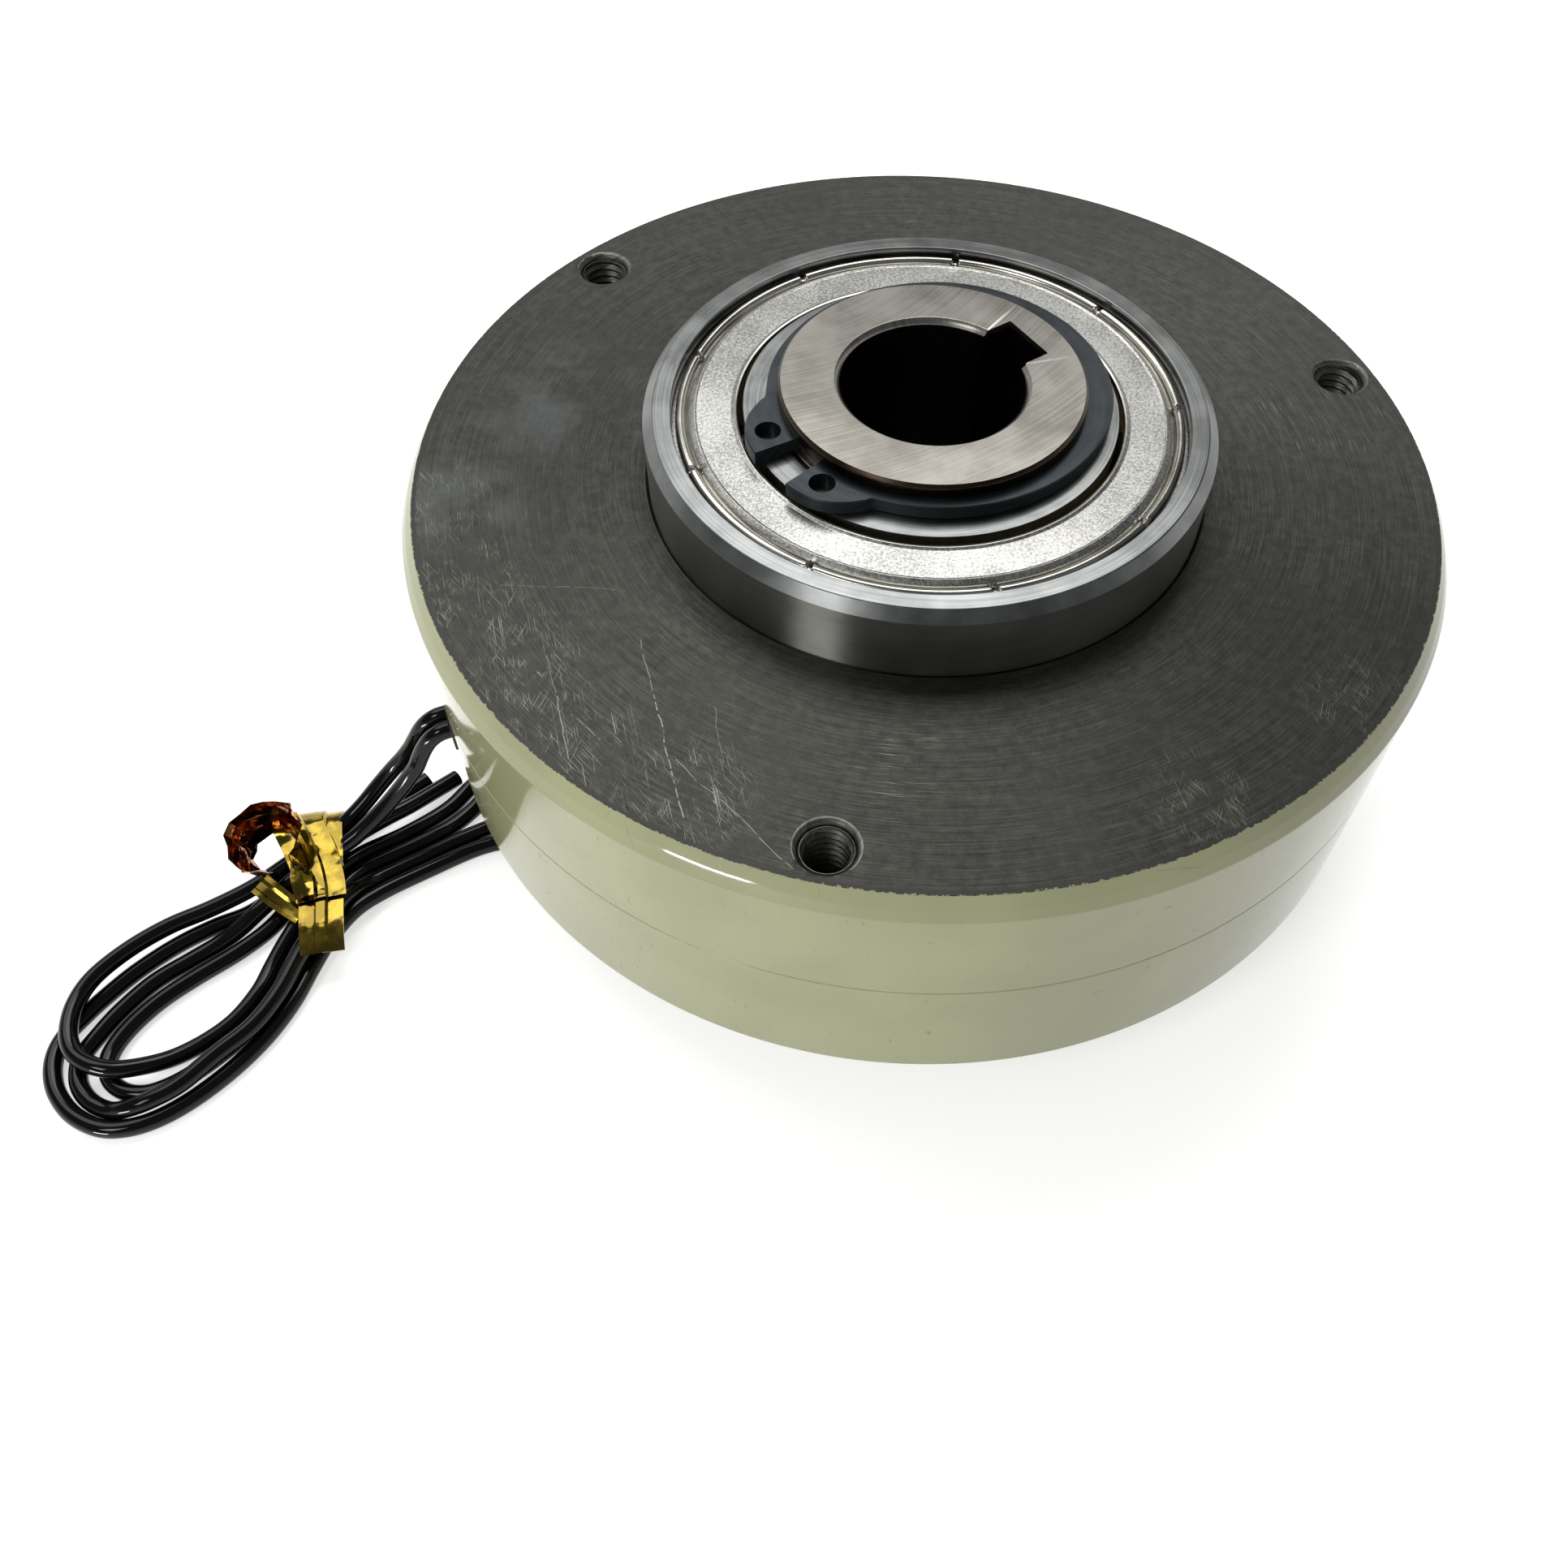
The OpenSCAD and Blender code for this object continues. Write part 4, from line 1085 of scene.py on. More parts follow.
@dataclass
class Lead:
    """One free lead: its route in mm, from the grommet to its bare end."""

    name: str
    route: tuple[tuple[float, float, float], ...]
    stands_for: tuple[str, ...]
    diameter: float = 1.6

    def build(self) -> bpy.types.Object:
        """Makes the lead as one smooth open curve.

        The handles of each point lie a sixth of the way from its last neighbour to its next one, to
        either side of it, which carries a Catmull-Rom curve through the route.

        Returns:
            The curve object.
        """
        p = np.array(self.route) * MM
        count = len(p)
        step = np.vstack([p[1:2] - p[0:1], (p[2:] - p[:-2]) / 2, p[-1:] - p[-2:-1]]) / 3
        data = bpy.data.curves.new(self.name, "CURVE")
        data.dimensions = "3D"
        data.bevel_depth, data.bevel_resolution = self.diameter / 2 * MM, 6
        data.resolution_u, data.use_fill_caps = 8, True
        spline = data.splines.new("BEZIER")
        spline.bezier_points.add(count - 1)
        spline.bezier_points.foreach_set("co", p.ravel())
        for point in spline.bezier_points:
            point.handle_left_type = point.handle_right_type = "FREE"
        spline.bezier_points.foreach_set("handle_left", (p - step).ravel())
        spline.bezier_points.foreach_set("handle_right", (p + step).ravel())
        data.materials.append(Finish.LEAD.material)
        piece = bpy.data.objects.new(self.name, data)
        bpy.context.scene.collection.objects.link(piece)
        place(piece, "stator", self.stands_for)
        run = np.linalg.norm(np.diff(p, axis=0), axis=1).sum() / MM
        log.info("%s: %.1f mm along its points", self.name, run)
        return piece


LEAD_A = (
    (-39.11, -21.04, 14.0), (-40.0, -21.51, 13.84), (-40.85, -21.97, 13.3), (-41.55, -22.33, 12.45),
    (-42.2, -22.65, 11.3), (-42.85, -22.95, 10.15), (-43.75, -23.4, 8.9), (-44.85, -24.1, 7.65),
    (-46.05, -25.3, 6.35), (-47.3, -27.0, 5.1), (-48.6, -28.8, 4.2), (-50.0, -30.5, 3.8),
    (-51.4, -32.2, 3.3), (-52.8, -33.9, 2.95), (-54.2, -35.7, 2.7), (-55.7, -37.3, 2.5),
    (-58.0, -39.4, 2.3), (-60.7, -41.7, 2.2), (-63.0, -44.7, 2.3), (-64.6, -48.0, 2.4),
    (-64.9, -50.8, 2.4), (-64.2, -53.3, 2.4), (-62.9, -55.0, 2.4), (-61.1, -55.8, 2.4),
    (-58.9, -55.8, 2.2), (-56.8, -54.8, 1.7), (-54.8, -53.2, 1.1), (-52.9, -51.0, 0.8),
    (-51.4, -48.6, 0.8), (-50.6, -45.6, 0.8), (-50.5, -43.0, 0.8), (-50.3, -40.6, 0.95),
    (-49.9, -38.0, 1.15), (-49.5, -35.4, 1.15), (-48.85, -32.8, 1.1), (-47.4, -29.9, 0.9),
    (-44.1, -26.6, 0.8), (-41.2, -23.0, 0.8), (-39.8, -19.6, 0.8), (-38.2, -16.2, 0.8),
    (-35.4, -13.9, 0.8), (-32.2, -13.9, 0.8), (-29.6, -15.9, 0.8), (-28.7, -19.0, 0.8),
    (-29.8, -22.1, 0.8), (-32.8, -24.4, 0.8), (-36.7, -26.6, 0.8), (-40.6, -30.1, 0.8),
    (-43.8, -33.4, 0.95), (-45.5, -36.0, 1.15), (-46.5, -39.2, 1.1), (-47.0, -42.3, 0.8),
    (-47.25, -45.9, 0.8), (-48.1, -49.6, 0.8), (-49.6, -53.1, 0.8), (-51.6, -56.3, 0.8),
    (-53.7, -58.6, 0.8), (-55.9, -60.0, 0.8), (-58.2, -60.5, 0.8), (-60.9, -59.9, 0.8),
    (-63.1, -58.5, 0.8), (-64.5, -56.8, 0.8), (-65.2, -55.0, 0.8), (-65.2, -53.2, 0.8),
    (-64.6, -51.3, 0.8), (-63.8, -49.3, 0.8), (-62.2, -46.1, 0.8), (-59.9, -42.8, 0.8),
    (-57.3, -40.2, 0.9), (-54.9, -38.3, 0.95), (-53.2, -36.0, 1.1), (-52.2, -33.3, 1.1),
    (-50.9, -30.4, 1.0), (-49.1, -27.7, 0.9), (-47.3, -24.9, 0.8), (-45.8, -22.3, 0.9),
    (-44.3, -20.1, 1.0),
)
LEAD_B = (
    (-38.18, -22.69, 14.0), (-39.05, -23.2, 13.84), (-39.85, -23.68, 13.3), (-40.5, -24.1, 12.4),
    (-41.05, -24.5, 11.3), (-41.6, -24.95, 10.1), (-42.4, -25.6, 8.9), (-43.4, -26.5, 7.65),
    (-44.55, -27.65, 6.4), (-45.8, -28.95, 5.3), (-47.1, -30.3, 4.35), (-48.6, -31.75, 3.75),
    (-50.0, -33.2, 3.45), (-51.25, -34.9, 3.05), (-52.4, -36.7, 2.6), (-53.5, -38.6, 2.2),
    (-54.7, -40.4, 1.6), (-56.1, -42.0, 1.1), (-57.9, -43.9, 0.8), (-60.1, -46.7, 0.8),
    (-61.6, -49.9, 0.8), (-62.4, -52.6, 0.8), (-62.8, -54.9, 0.8), (-62.1, -56.8, 0.8),
    (-60.9, -58.0, 0.8), (-59.4, -58.7, 0.8), (-57.7, -58.9, 1.0), (-56.1, -58.5, 1.6),
    (-54.5, -57.6, 2.0), (-52.6, -55.75, 2.2), (-50.75, -52.5, 2.3), (-48.95, -49.4, 2.3),
    (-48.1, -45.95, 2.3), (-47.85, -42.4, 2.4), (-47.3, -39.4, 2.5), (-46.7, -36.9, 2.5),
    (-46.2, -34.9, 2.2), (-44.9, -32.3, 1.05), (-41.7, -29.0, 0.8), (-38.2, -25.6, 0.8),
    (-35.3, -23.3, 0.8), (-33.0, -22.5, 0.8), (-31.2, -21.0, 0.8), (-30.6, -18.8, 0.8),
    (-31.5, -16.7, 0.8), (-33.5, -15.6, 0.8), (-35.7, -16.1, 0.8), (-37.2, -17.9, 0.8),
    (-38.0, -20.1, 0.8), (-38.8, -22.5, 0.8), (-40.3, -25.1, 0.8), (-42.9, -27.8, 0.8),
    (-46.1, -31.1, 0.9), (-47.4, -33.6, 1.1), (-47.9, -36.4, 1.15), (-48.35, -39.6, 1.1),
    (-48.75, -42.6, 0.8), (-48.95, -46.0, 0.8), (-49.75, -49.2, 0.8), (-51.3, -52.1, 0.8),
    (-52.9, -54.4, 0.8), (-54.4, -55.9, 0.8), (-55.9, -56.8, 0.8), (-57.6, -57.0, 0.8),
    (-59.2, -56.4, 0.8), (-60.3, -55.0, 0.8), (-60.5, -53.2, 0.8), (-59.9, -50.8, 0.8),
    (-58.6, -48.1, 0.8), (-56.6, -45.3, 0.8), (-54.2, -42.4, 0.9), (-52.4, -39.7, 1.05),
    (-51.5, -37.2, 1.15), (-51.1, -34.9, 1.45), (-50.4, -32.6, 1.9), (-49.2, -30.5, 2.25),
    (-47.7, -28.3, 2.3), (-46.1, -26.1, 2.1), (-44.5, -24.0, 1.8), (-43.0, -21.6, 1.4),
    (-41.6, -19.3, 1.0),
)


@dataclass
class LeadPair:
    """Both leads: out of the grommet, through the tie, twice round the left loops and once under the rim."""

    lead_a: Lead = field(default_factory=lambda: Lead("lead_a", LEAD_A,
                                                      ("lead_run_a", "lead_hank", "lead_tail")))
    lead_b: Lead = field(default_factory=lambda: Lead("lead_b", LEAD_B, ("lead_run_b",)))

    def build(self) -> None:
        a = self.lead_a.build()
        b = self.lead_b.build()


@dataclass
class TwistTie:
    """A flat foil tie with a wire core: a band round the leads, a layer over it, a curled end and a flap.

    Its own axes run along the leads, across them towards the front, and up.
    """

    centre: tuple[float, float] = (-49.2, -34.6)
    heading: float = 22.0
    width: float = 4.2
    film: float = 0.14
    core: float = 0.26
    lap: tuple[tuple[float, float, float], ...] = (
        (0.8, 8.1, 3.3), (0.8, 6.9, 3.72), (0.8, 5.3, 4.02), (0.8, 2.6, 4.2), (0.8, 0.3, 4.4),
        (0.75, -2, 4.65), (0.7, -4.2, 4.9), (0.6, -6.0, 4.6), (0.5, -7.1, 3.5), (0.4, -7.3, 1.9),
        (0.3, -6.7, 0.7), (0.2, -5.4, 0.2), (0, -2.5, 0.16), (-0.2, 1.5, 0.16), (-0.3, 4.2, 0.16),
    )
    over: tuple[tuple[float, float, float], ...] = (
        (0.92, 3.1, 4.55), (0.8, 1.6, 4.7), (0.35, -0.6, 4.9), (-0.4, -2.8, 5.2), (-1.2, -4.8, 5.3),
        (-2.0, -6.6, 4.7), (-2.3, -7.6, 3.4),
    )
    flap: tuple[tuple[float, float, float], ...] = (
        (-1.3, 3.4, 2.9), (-2.6, 2.4, 3.6), (-3.9, 1.2, 4.1), (-4.6, 0.6, 4.7),
    )
    lead_in: tuple[tuple[float, float, float], ...] = ((0.0, 2.95, 4.9), (-0.15, 1.6, 5.2), (-0.5, 0.3, 5.6))
    curl_centre: tuple[float, float, float] = (-53.4, -33.7, 6.1)
    curl_r: float = 2.6
    curl_axis: tuple[float, float, float] = (0.1, -0.154, 0.983)
    curl_turn: tuple[float, float] = (-16, 296)
    curl_oval: float = 1.2
    curl_tightens: float = 0.08
    curl_lean: float = 0.42
    crumple: float = 0.34

    def section(self, widths: Array, ribs: Array) -> Array:
        """Outline of the flat tie at each point of a path: film thick, with a flat rib over the wire core.

        The rib's height falls from core to 0 between 0.42 and 0.62 mm from the middle. The outer face
        comes first, and the inner face goes back.

        Args:
            widths: width at each point in mm.
            ribs: share of the rib's height at each point.
        Returns:
            Corners of shape (points, 24, 2).
        """
        x = np.concatenate([np.linspace(-0.5, -0.16, 4), np.array([-0.62, -0.42, 0.42, 0.62]) / self.width,
                            np.linspace(0.16, 0.5, 4)])
        x = x[None, :] * np.asarray(widths, float)[:, None]
        rise = self.core * np.clip((0.62 - np.abs(x)) / 0.2, 0, 1) * np.asarray(ribs, float)[:, None]
        upper, lower = np.stack([x, rise + self.film / 2], -1), np.stack([x, rise - self.film / 2], -1)
        return np.concatenate([upper, lower[:, ::-1]], axis=1)

    def to_frame(self, points: Sequence[Sequence[float]]) -> Array:
        """Carries points from the tie's own axes to the shared frame.

        Args:
            points: shape (n, 3), in mm along the leads, across them and up.
        Returns:
            The points in the shared frame.
        """
        turn = math.radians(self.heading)
        cos_t, sin_t = math.cos(turn), math.sin(turn)
        axes = np.array([[cos_t, sin_t, 0], [sin_t, -cos_t, 0], [0, 0, 1]])
        return np.array([*self.centre, 0]) + np.asarray(points, float) @ axes

    def direction(self, along: float, across: float) -> Array:
        """A unit direction of the shared frame, from its shares in the tie's own axes."""
        return unit(self.to_frame([(along, across, 0)])[0] - self.to_frame([(0, 0, 0)])[0])

    def strip(self, path: Array, sides: Array, widths: Array, ribs: Optional[Array] = None,
              creases: Optional[Array] = None) -> Shell:
        """A length of tie along a path.

        Args:
            path: points in the shared frame.
            sides: direction across the tie at each point.
            widths: width at each point in mm.
            ribs: share of the rib over the wire core at each point.
            creases: how far each corner of the section is moved off the film, of shape (points, corners).
        Returns:
            The shell, gold (0) on its outer face and copper (1) on its inner one.
        """
        section = self.section(widths, np.ones(len(path)) if ribs is None else ribs)
        if creases is not None:
            section = section + np.stack([0 * creases, creases], -1)
        shell = Shell.of_grid(swept(path, sides, section), wrap_rows=False, caps=True)
        half = section.shape[1] // 2
        column = np.where(np.arange(2 * half) < half, 0, 1)
        quads = len(shell.faces) - 2
        shell.finish[:quads] = np.tile(column, quads // len(column))
        return shell.outward()

    def curl(self) -> Shell:
        """The end that leaves the band, twists upright and curls into a crumpled ring.

        The ring is an oval about curl_axis whose radius shrinks by curl_tightens to its end. Its film
        leans outwards by curl_lean, and is creased by random heights up to crumple.

        Returns:
            The shell.
        """
        axis = unit(np.array(self.curl_axis))
        right = np.array([0.985, 0.175, 0])
        right = unit(right - axis * (right @ axis))
        up = self.curl_oval * np.cross(axis, right)
        angle = np.radians(np.linspace(*self.curl_turn, 17))[:, None]
        radius = self.curl_r * (1 - self.curl_tightens * np.linspace(0, 1, 17))[:, None]
        ring = np.array(self.curl_centre) + radius * (np.cos(angle) * right + np.sin(angle) * up)
        path = np.vstack([smooth_path(np.vstack([self.to_frame(self.lead_in), ring[:1]]), 8)[:-1], ring])
        blend = np.clip(np.arange(len(path)) / 8, 0, 1)[:, None]
        outward = unit(path - np.array(self.curl_centre))
        lean = self.curl_lean * blend ** 2
        sides = unit((1 - blend) * self.direction(1, 0) - blend * axis - lean * outward)
        widths = np.interp(np.arange(len(path)), [0, 5, 9, len(path) - 1], [2.6, 3.2, 4.2, 3.7])
        corners = np.random.default_rng(11).uniform(-1, 1, (len(path), 4))
        spread = np.stack([np.interp(np.linspace(0, 3, 12), np.arange(4), row) for row in corners])
        creases = self.crumple * spread * blend ** 2
        creases = np.concatenate([creases, creases[:, ::-1]], axis=1)
        return self.strip(path, sides, widths, 1 - blend[:, 0], creases)

    def build(self) -> None:
        """Makes the band, the layer over it, the curl and the flap as one piece."""
        path = smooth_path(self.to_frame(self.lap), 110)
        ribs = np.clip((path[:, 2] - 0.5) / 0.8, 0, 1)
        band = self.strip(path, np.tile(self.direction(1, 0), (110, 1)), np.linspace(3.9, 4.3, 110), ribs)
        path = smooth_path(self.to_frame(self.over), 40)
        layer = self.strip(path, np.tile(self.direction(1, 0.2), (40, 1)), np.full(40, 4.45))
        path = smooth_path(self.to_frame(self.flap), 16)
        upright = unit(np.array([0.75, 0.55, 0.5]))
        flap = self.strip(path, np.tile(upright, (16, 1)), np.linspace(2.2, 2.4, 16))
        piece = make("twist_tie_film", joined([band, layer, self.curl(), flap]),
                     [Finish.FOIL.material, Finish.COPPER.material], 24)
        place(piece, "stator", ("twist_tie",))


# The housing

@dataclass
class StatorHousing:
    """The two turned halves with their tapped holes, screws and grommet."""

    face: float = 33.0
    seam: float = 20.7
    rim: float = 8.0
    body_r: float = 44.25
    face_r: float = 43.1
    face_drop: float = 1.9
    bore_r: float = 23.51
    seat_front: float = 27.4
    seat_rear: float = 14.9
    shoulder_r: float = 17.51
    shoulders: tuple[float, float] = (16.4, 25.9)
    chamber_r: float = 37.5
    chamber: tuple[float, float] = (11.5, 28.9)
    drum_space_r: float = 25.8
    pole_r: float = 29.9
    coil_r: float = 32.0
    pole_ends: tuple[float, float] = (17.5, 23.5)
    hole_circle: float = 40.0
    hole_angles: tuple[float, ...] = (-90.0, 30.0, 150.0)
    thread_r: float = 2.0
    thread_core_r: float = 1.65
    pitch: float = 0.7
    mouth_r: float = 2.55
    mouth_depth: float = 0.55
    hole_end: float = 24.0
    screw_angles: tuple[float, ...] = (-60.0, 0.0, 60.0, 120.0, 180.0, 240.0)
    screw_r: float = 1.5
    screw_top: float = 25.2
    head_r: float = 2.75
    head: tuple[float, float] = (8.2, 11.2)
    socket_r: float = 1.44
    socket_end: float = 9.7
    boss_r: float = 28.5
    lead_angle: float = -150.5
    lead_height: float = 14.0
    lead_hole_r: float = 2.71

    def front_profile(self) -> Array:
        """Outline of the front half, with small rounds at its edges."""
        return rounded([
            (self.bore_r + 0.25, self.face, 0.05), (self.bore_r, self.face - 0.3, 0.05),
            *self.inner_wall(self.seat_front, 1), (self.body_r, self.seam, 0.16),
            (self.body_r, self.face - self.face_drop, 0.5), (self.body_r - 0.51, self.face - 0.91, 3.0),
            (self.face_r, self.face, 0.12)], 4)

    def inner_wall(self, seat: float, end: int) -> list[tuple[float, float, float]]:
        """Corners of a half's inside, from its bearing seat to the seam.

        Args:
            seat: height of the bearing's seat.
            end: 0 for the rear half and 1 for the front one.
        Returns:
            Rows of radius, height and the radius of the corner.
        """
        shoulder, floor, pole = self.shoulders[end], self.chamber[end], self.pole_ends[end]
        return [(self.bore_r, seat, 0.1), (self.shoulder_r, seat, 0.2), (self.shoulder_r, shoulder, 0.2),
                (self.drum_space_r, shoulder, 0.2), (self.drum_space_r, floor, 0.2),
                (self.pole_r, floor, 0.2), (self.pole_r, pole, 0.2), (self.coil_r, pole, 0.2),
                (self.coil_r, floor, 0.2), (self.chamber_r, floor, 0.2), (self.chamber_r, self.seam, 0.05)]

    def rear_profile(self) -> Array:
        """Outline of the rear half, with small rounds at its edges."""
        return rounded([
            (self.bore_r, 0, 0.15), *self.inner_wall(self.seat_rear, 0), (self.body_r, self.seam, 0.16),
            (self.body_r, self.rim + 0.3, 0.12), (self.body_r - 0.3, self.rim, 0.12),
            (self.boss_r, self.rim, 0.25), (self.boss_r, 0.3, 0.1), (self.boss_r - 0.3, 0, 0.1)], 4)

    def finish_rows(self, profile: Array) -> Array:
        """Finish number of each row of faces: 0 bare, 1 enamel, 2 the faced front.

        A row is enamel where its middle lies outside the face's radius, or at or under the rim and
        outside the bore. The rows that lie in the seam stay bare.

        Args:
            profile: the half's outline.
        Returns:
            A number for each row.
        """
        middle = (profile + np.roll(profile, -1, axis=0)) / 2
        painted = (middle[:, 0] > self.face_r + 0.01) & (middle[:, 1] > self.rim - 1)
        painted |= (middle[:, 1] < self.rim + 0.01) & (middle[:, 0] > self.bore_r + 0.2)
        painted &= ~(np.abs(middle[:, 1] - self.seam) < 0.02)
        faced = (middle[:, 1] > self.face - 0.08) & (middle[:, 0] <= self.face_r + 0.01)
        return np.where(faced, 2, np.where(painted, 1, 0))

    @staticmethod
    def plug(profile: Array, segments: int = 48) -> Shell:
        """A solid of revolution along Z from an open outline that starts and ends on flat caps."""
        return Shell.of_grid(turned(profile, around(segments)), wrap_rows=False, caps=True).outward()

    def mount_holes(self) -> Shell:
        """The three tapped holes with countersunk mouths, as what is cut away."""
        hole = self.plug(np.array([
            (self.thread_r, self.hole_end), (self.thread_r, self.face - self.mouth_depth),
            (self.mouth_r, self.face), (self.mouth_r + 0.3, self.face + 0.4)]))
        return joined(spun(shifted(hole, x=self.hole_circle), a) for a in self.hole_angles)

    def threads(self) -> Shell:
        """Turns of thread in the three holes.

        The inner wall's radius is thread_r less a triangle wave of z / pitch - angle / 360 that is
        thread_r - thread_core_r high and fades out at the mouth. The outer wall is a plain tube.

        Returns:
            The shell of all three.
        """
        angles = around(48)
        z = np.linspace(self.hole_end + 0.1, self.face - self.mouth_depth + 0.05, 130)[:, None]
        phase = z / self.pitch - angles[None, :] / (2 * math.pi)
        wave = 1 - np.abs(2 * (phase % 1) - 1)
        fade = np.clip((self.face - self.mouth_depth - z) / 0.35, 0.05, 1)
        crest = np.clip(1.25 * wave - 0.12, 0, 1) * fade
        inner = self.thread_r - 0.03 - (self.thread_r - self.thread_core_r - 0.03) * crest
        wall = np.full((2, len(angles)), self.thread_r - 0.005)
        radius = np.vstack([inner, wall])
        height = np.broadcast_to(np.vstack([z, z[-1:], z[:1]]), radius.shape)
        grid = np.stack([radius * np.cos(angles), radius * np.sin(angles), height], axis=-1)
        thread = Shell.of_grid(grid).outward()
        return joined(spun(shifted(thread, x=self.hole_circle), a) for a in self.hole_angles)

    def screw(self) -> Shell:
        """A socket-head screw that stands on its head: shank, head and a six-sided socket from below.

        The socket's radius at an angle is flat / cos(d), where d is the angle to its nearest side's middle.

        Returns:
            The shell, along the Z axis.
        """
        angles = around(48)
        low, top = self.head
        outer = turned(np.array([
            (self.screw_r - 0.3, self.screw_top), (self.screw_r, self.screw_top - 0.3), (self.screw_r, top),
            (self.head_r - 0.1, top), (self.head_r, top - 0.1), (self.head_r, low + 0.3),
            (self.head_r - 0.3, low), (self.socket_r + 0.18, low)]), angles)
        flat = self.socket_r * math.cos(math.pi / 6)
        hexagon = flat / np.cos((angles + math.pi / 6) % (math.pi / 3) - math.pi / 6)
        socket = [np.stack([r * np.cos(angles), r * np.sin(angles), np.full(48, z)], -1)
                  for r, z in ((hexagon + 0.08, low), (hexagon, low + 0.1), (hexagon, self.socket_end))]
        return Shell.of_grid(np.concatenate([outer, np.stack(socket)]), wrap_rows=False, caps=True).outward()

    def at_screws(self, shell: Shell) -> Shell:
        """Copies of a shell at all the screws."""
        return joined(spun(shifted(shell, x=self.hole_circle), a) for a in self.screw_angles)

    def build(self) -> None:
        """Makes the halves with their holes, the threads and the screws, and dresses the grommet."""
        finishes = [Finish.BORED.material, Finish.ENAMEL.material, Finish.FACED.material]
        front_line, rear_line = self.front_profile(), self.rear_profile()
        front = make("front_housing", lathe(front_line, 256, self.finish_rows(front_line)), finishes)
        tapped_r = self.screw_r + 0.03
        tapped = self.plug(np.array([(tapped_r, 15.0), (tapped_r, self.screw_top + 1)]))
        carved(front, self.mount_holes() + self.at_screws(tapped), Finish.BORED.material)
        place(front, "stator", ("front_stator_half",))
        rear = make("rear_housing", lathe(rear_line, 256, self.finish_rows(rear_line)), finishes)
        head_r, shank_r, step = self.head_r + 0.15, self.screw_r + 0.1, self.head[1]
        bore = self.plug(np.array([(head_r, 6.0), (head_r, step), (shank_r, step), (shank_r, 25.0)]))
        lead_hole = self.plug(np.array([(self.lead_hole_r, 36.0), (self.lead_hole_r, 46.0)]))
        carved(rear, self.at_screws(bore) + lead_hole.moved(self.lead_frame()), Finish.BORED.material)
        place(rear, "stator", ("rear_stator_half",))
        place(make("mount_threads", self.threads(), [Finish.BORED.material]), "stator", ())
        screws = make("assembly_screws", self.at_screws(self.screw()), [Finish.BLACK.material])
        place(screws, "stator", ("housing_screws",))
        dress("lead_grommet", Finish.RUBBER.material)

    def lead_frame(self) -> Array:
        """Matrix that lays a piece drawn along +Z along the lead hole at its height."""
        laid = Matrix.Translation((0, 0, self.lead_height)) @ Matrix.Rotation(math.pi / 2, 4, "Y")
        return np.array(Matrix.Rotation(math.radians(self.lead_angle), 4, "Z") @ laid)


# The bearings

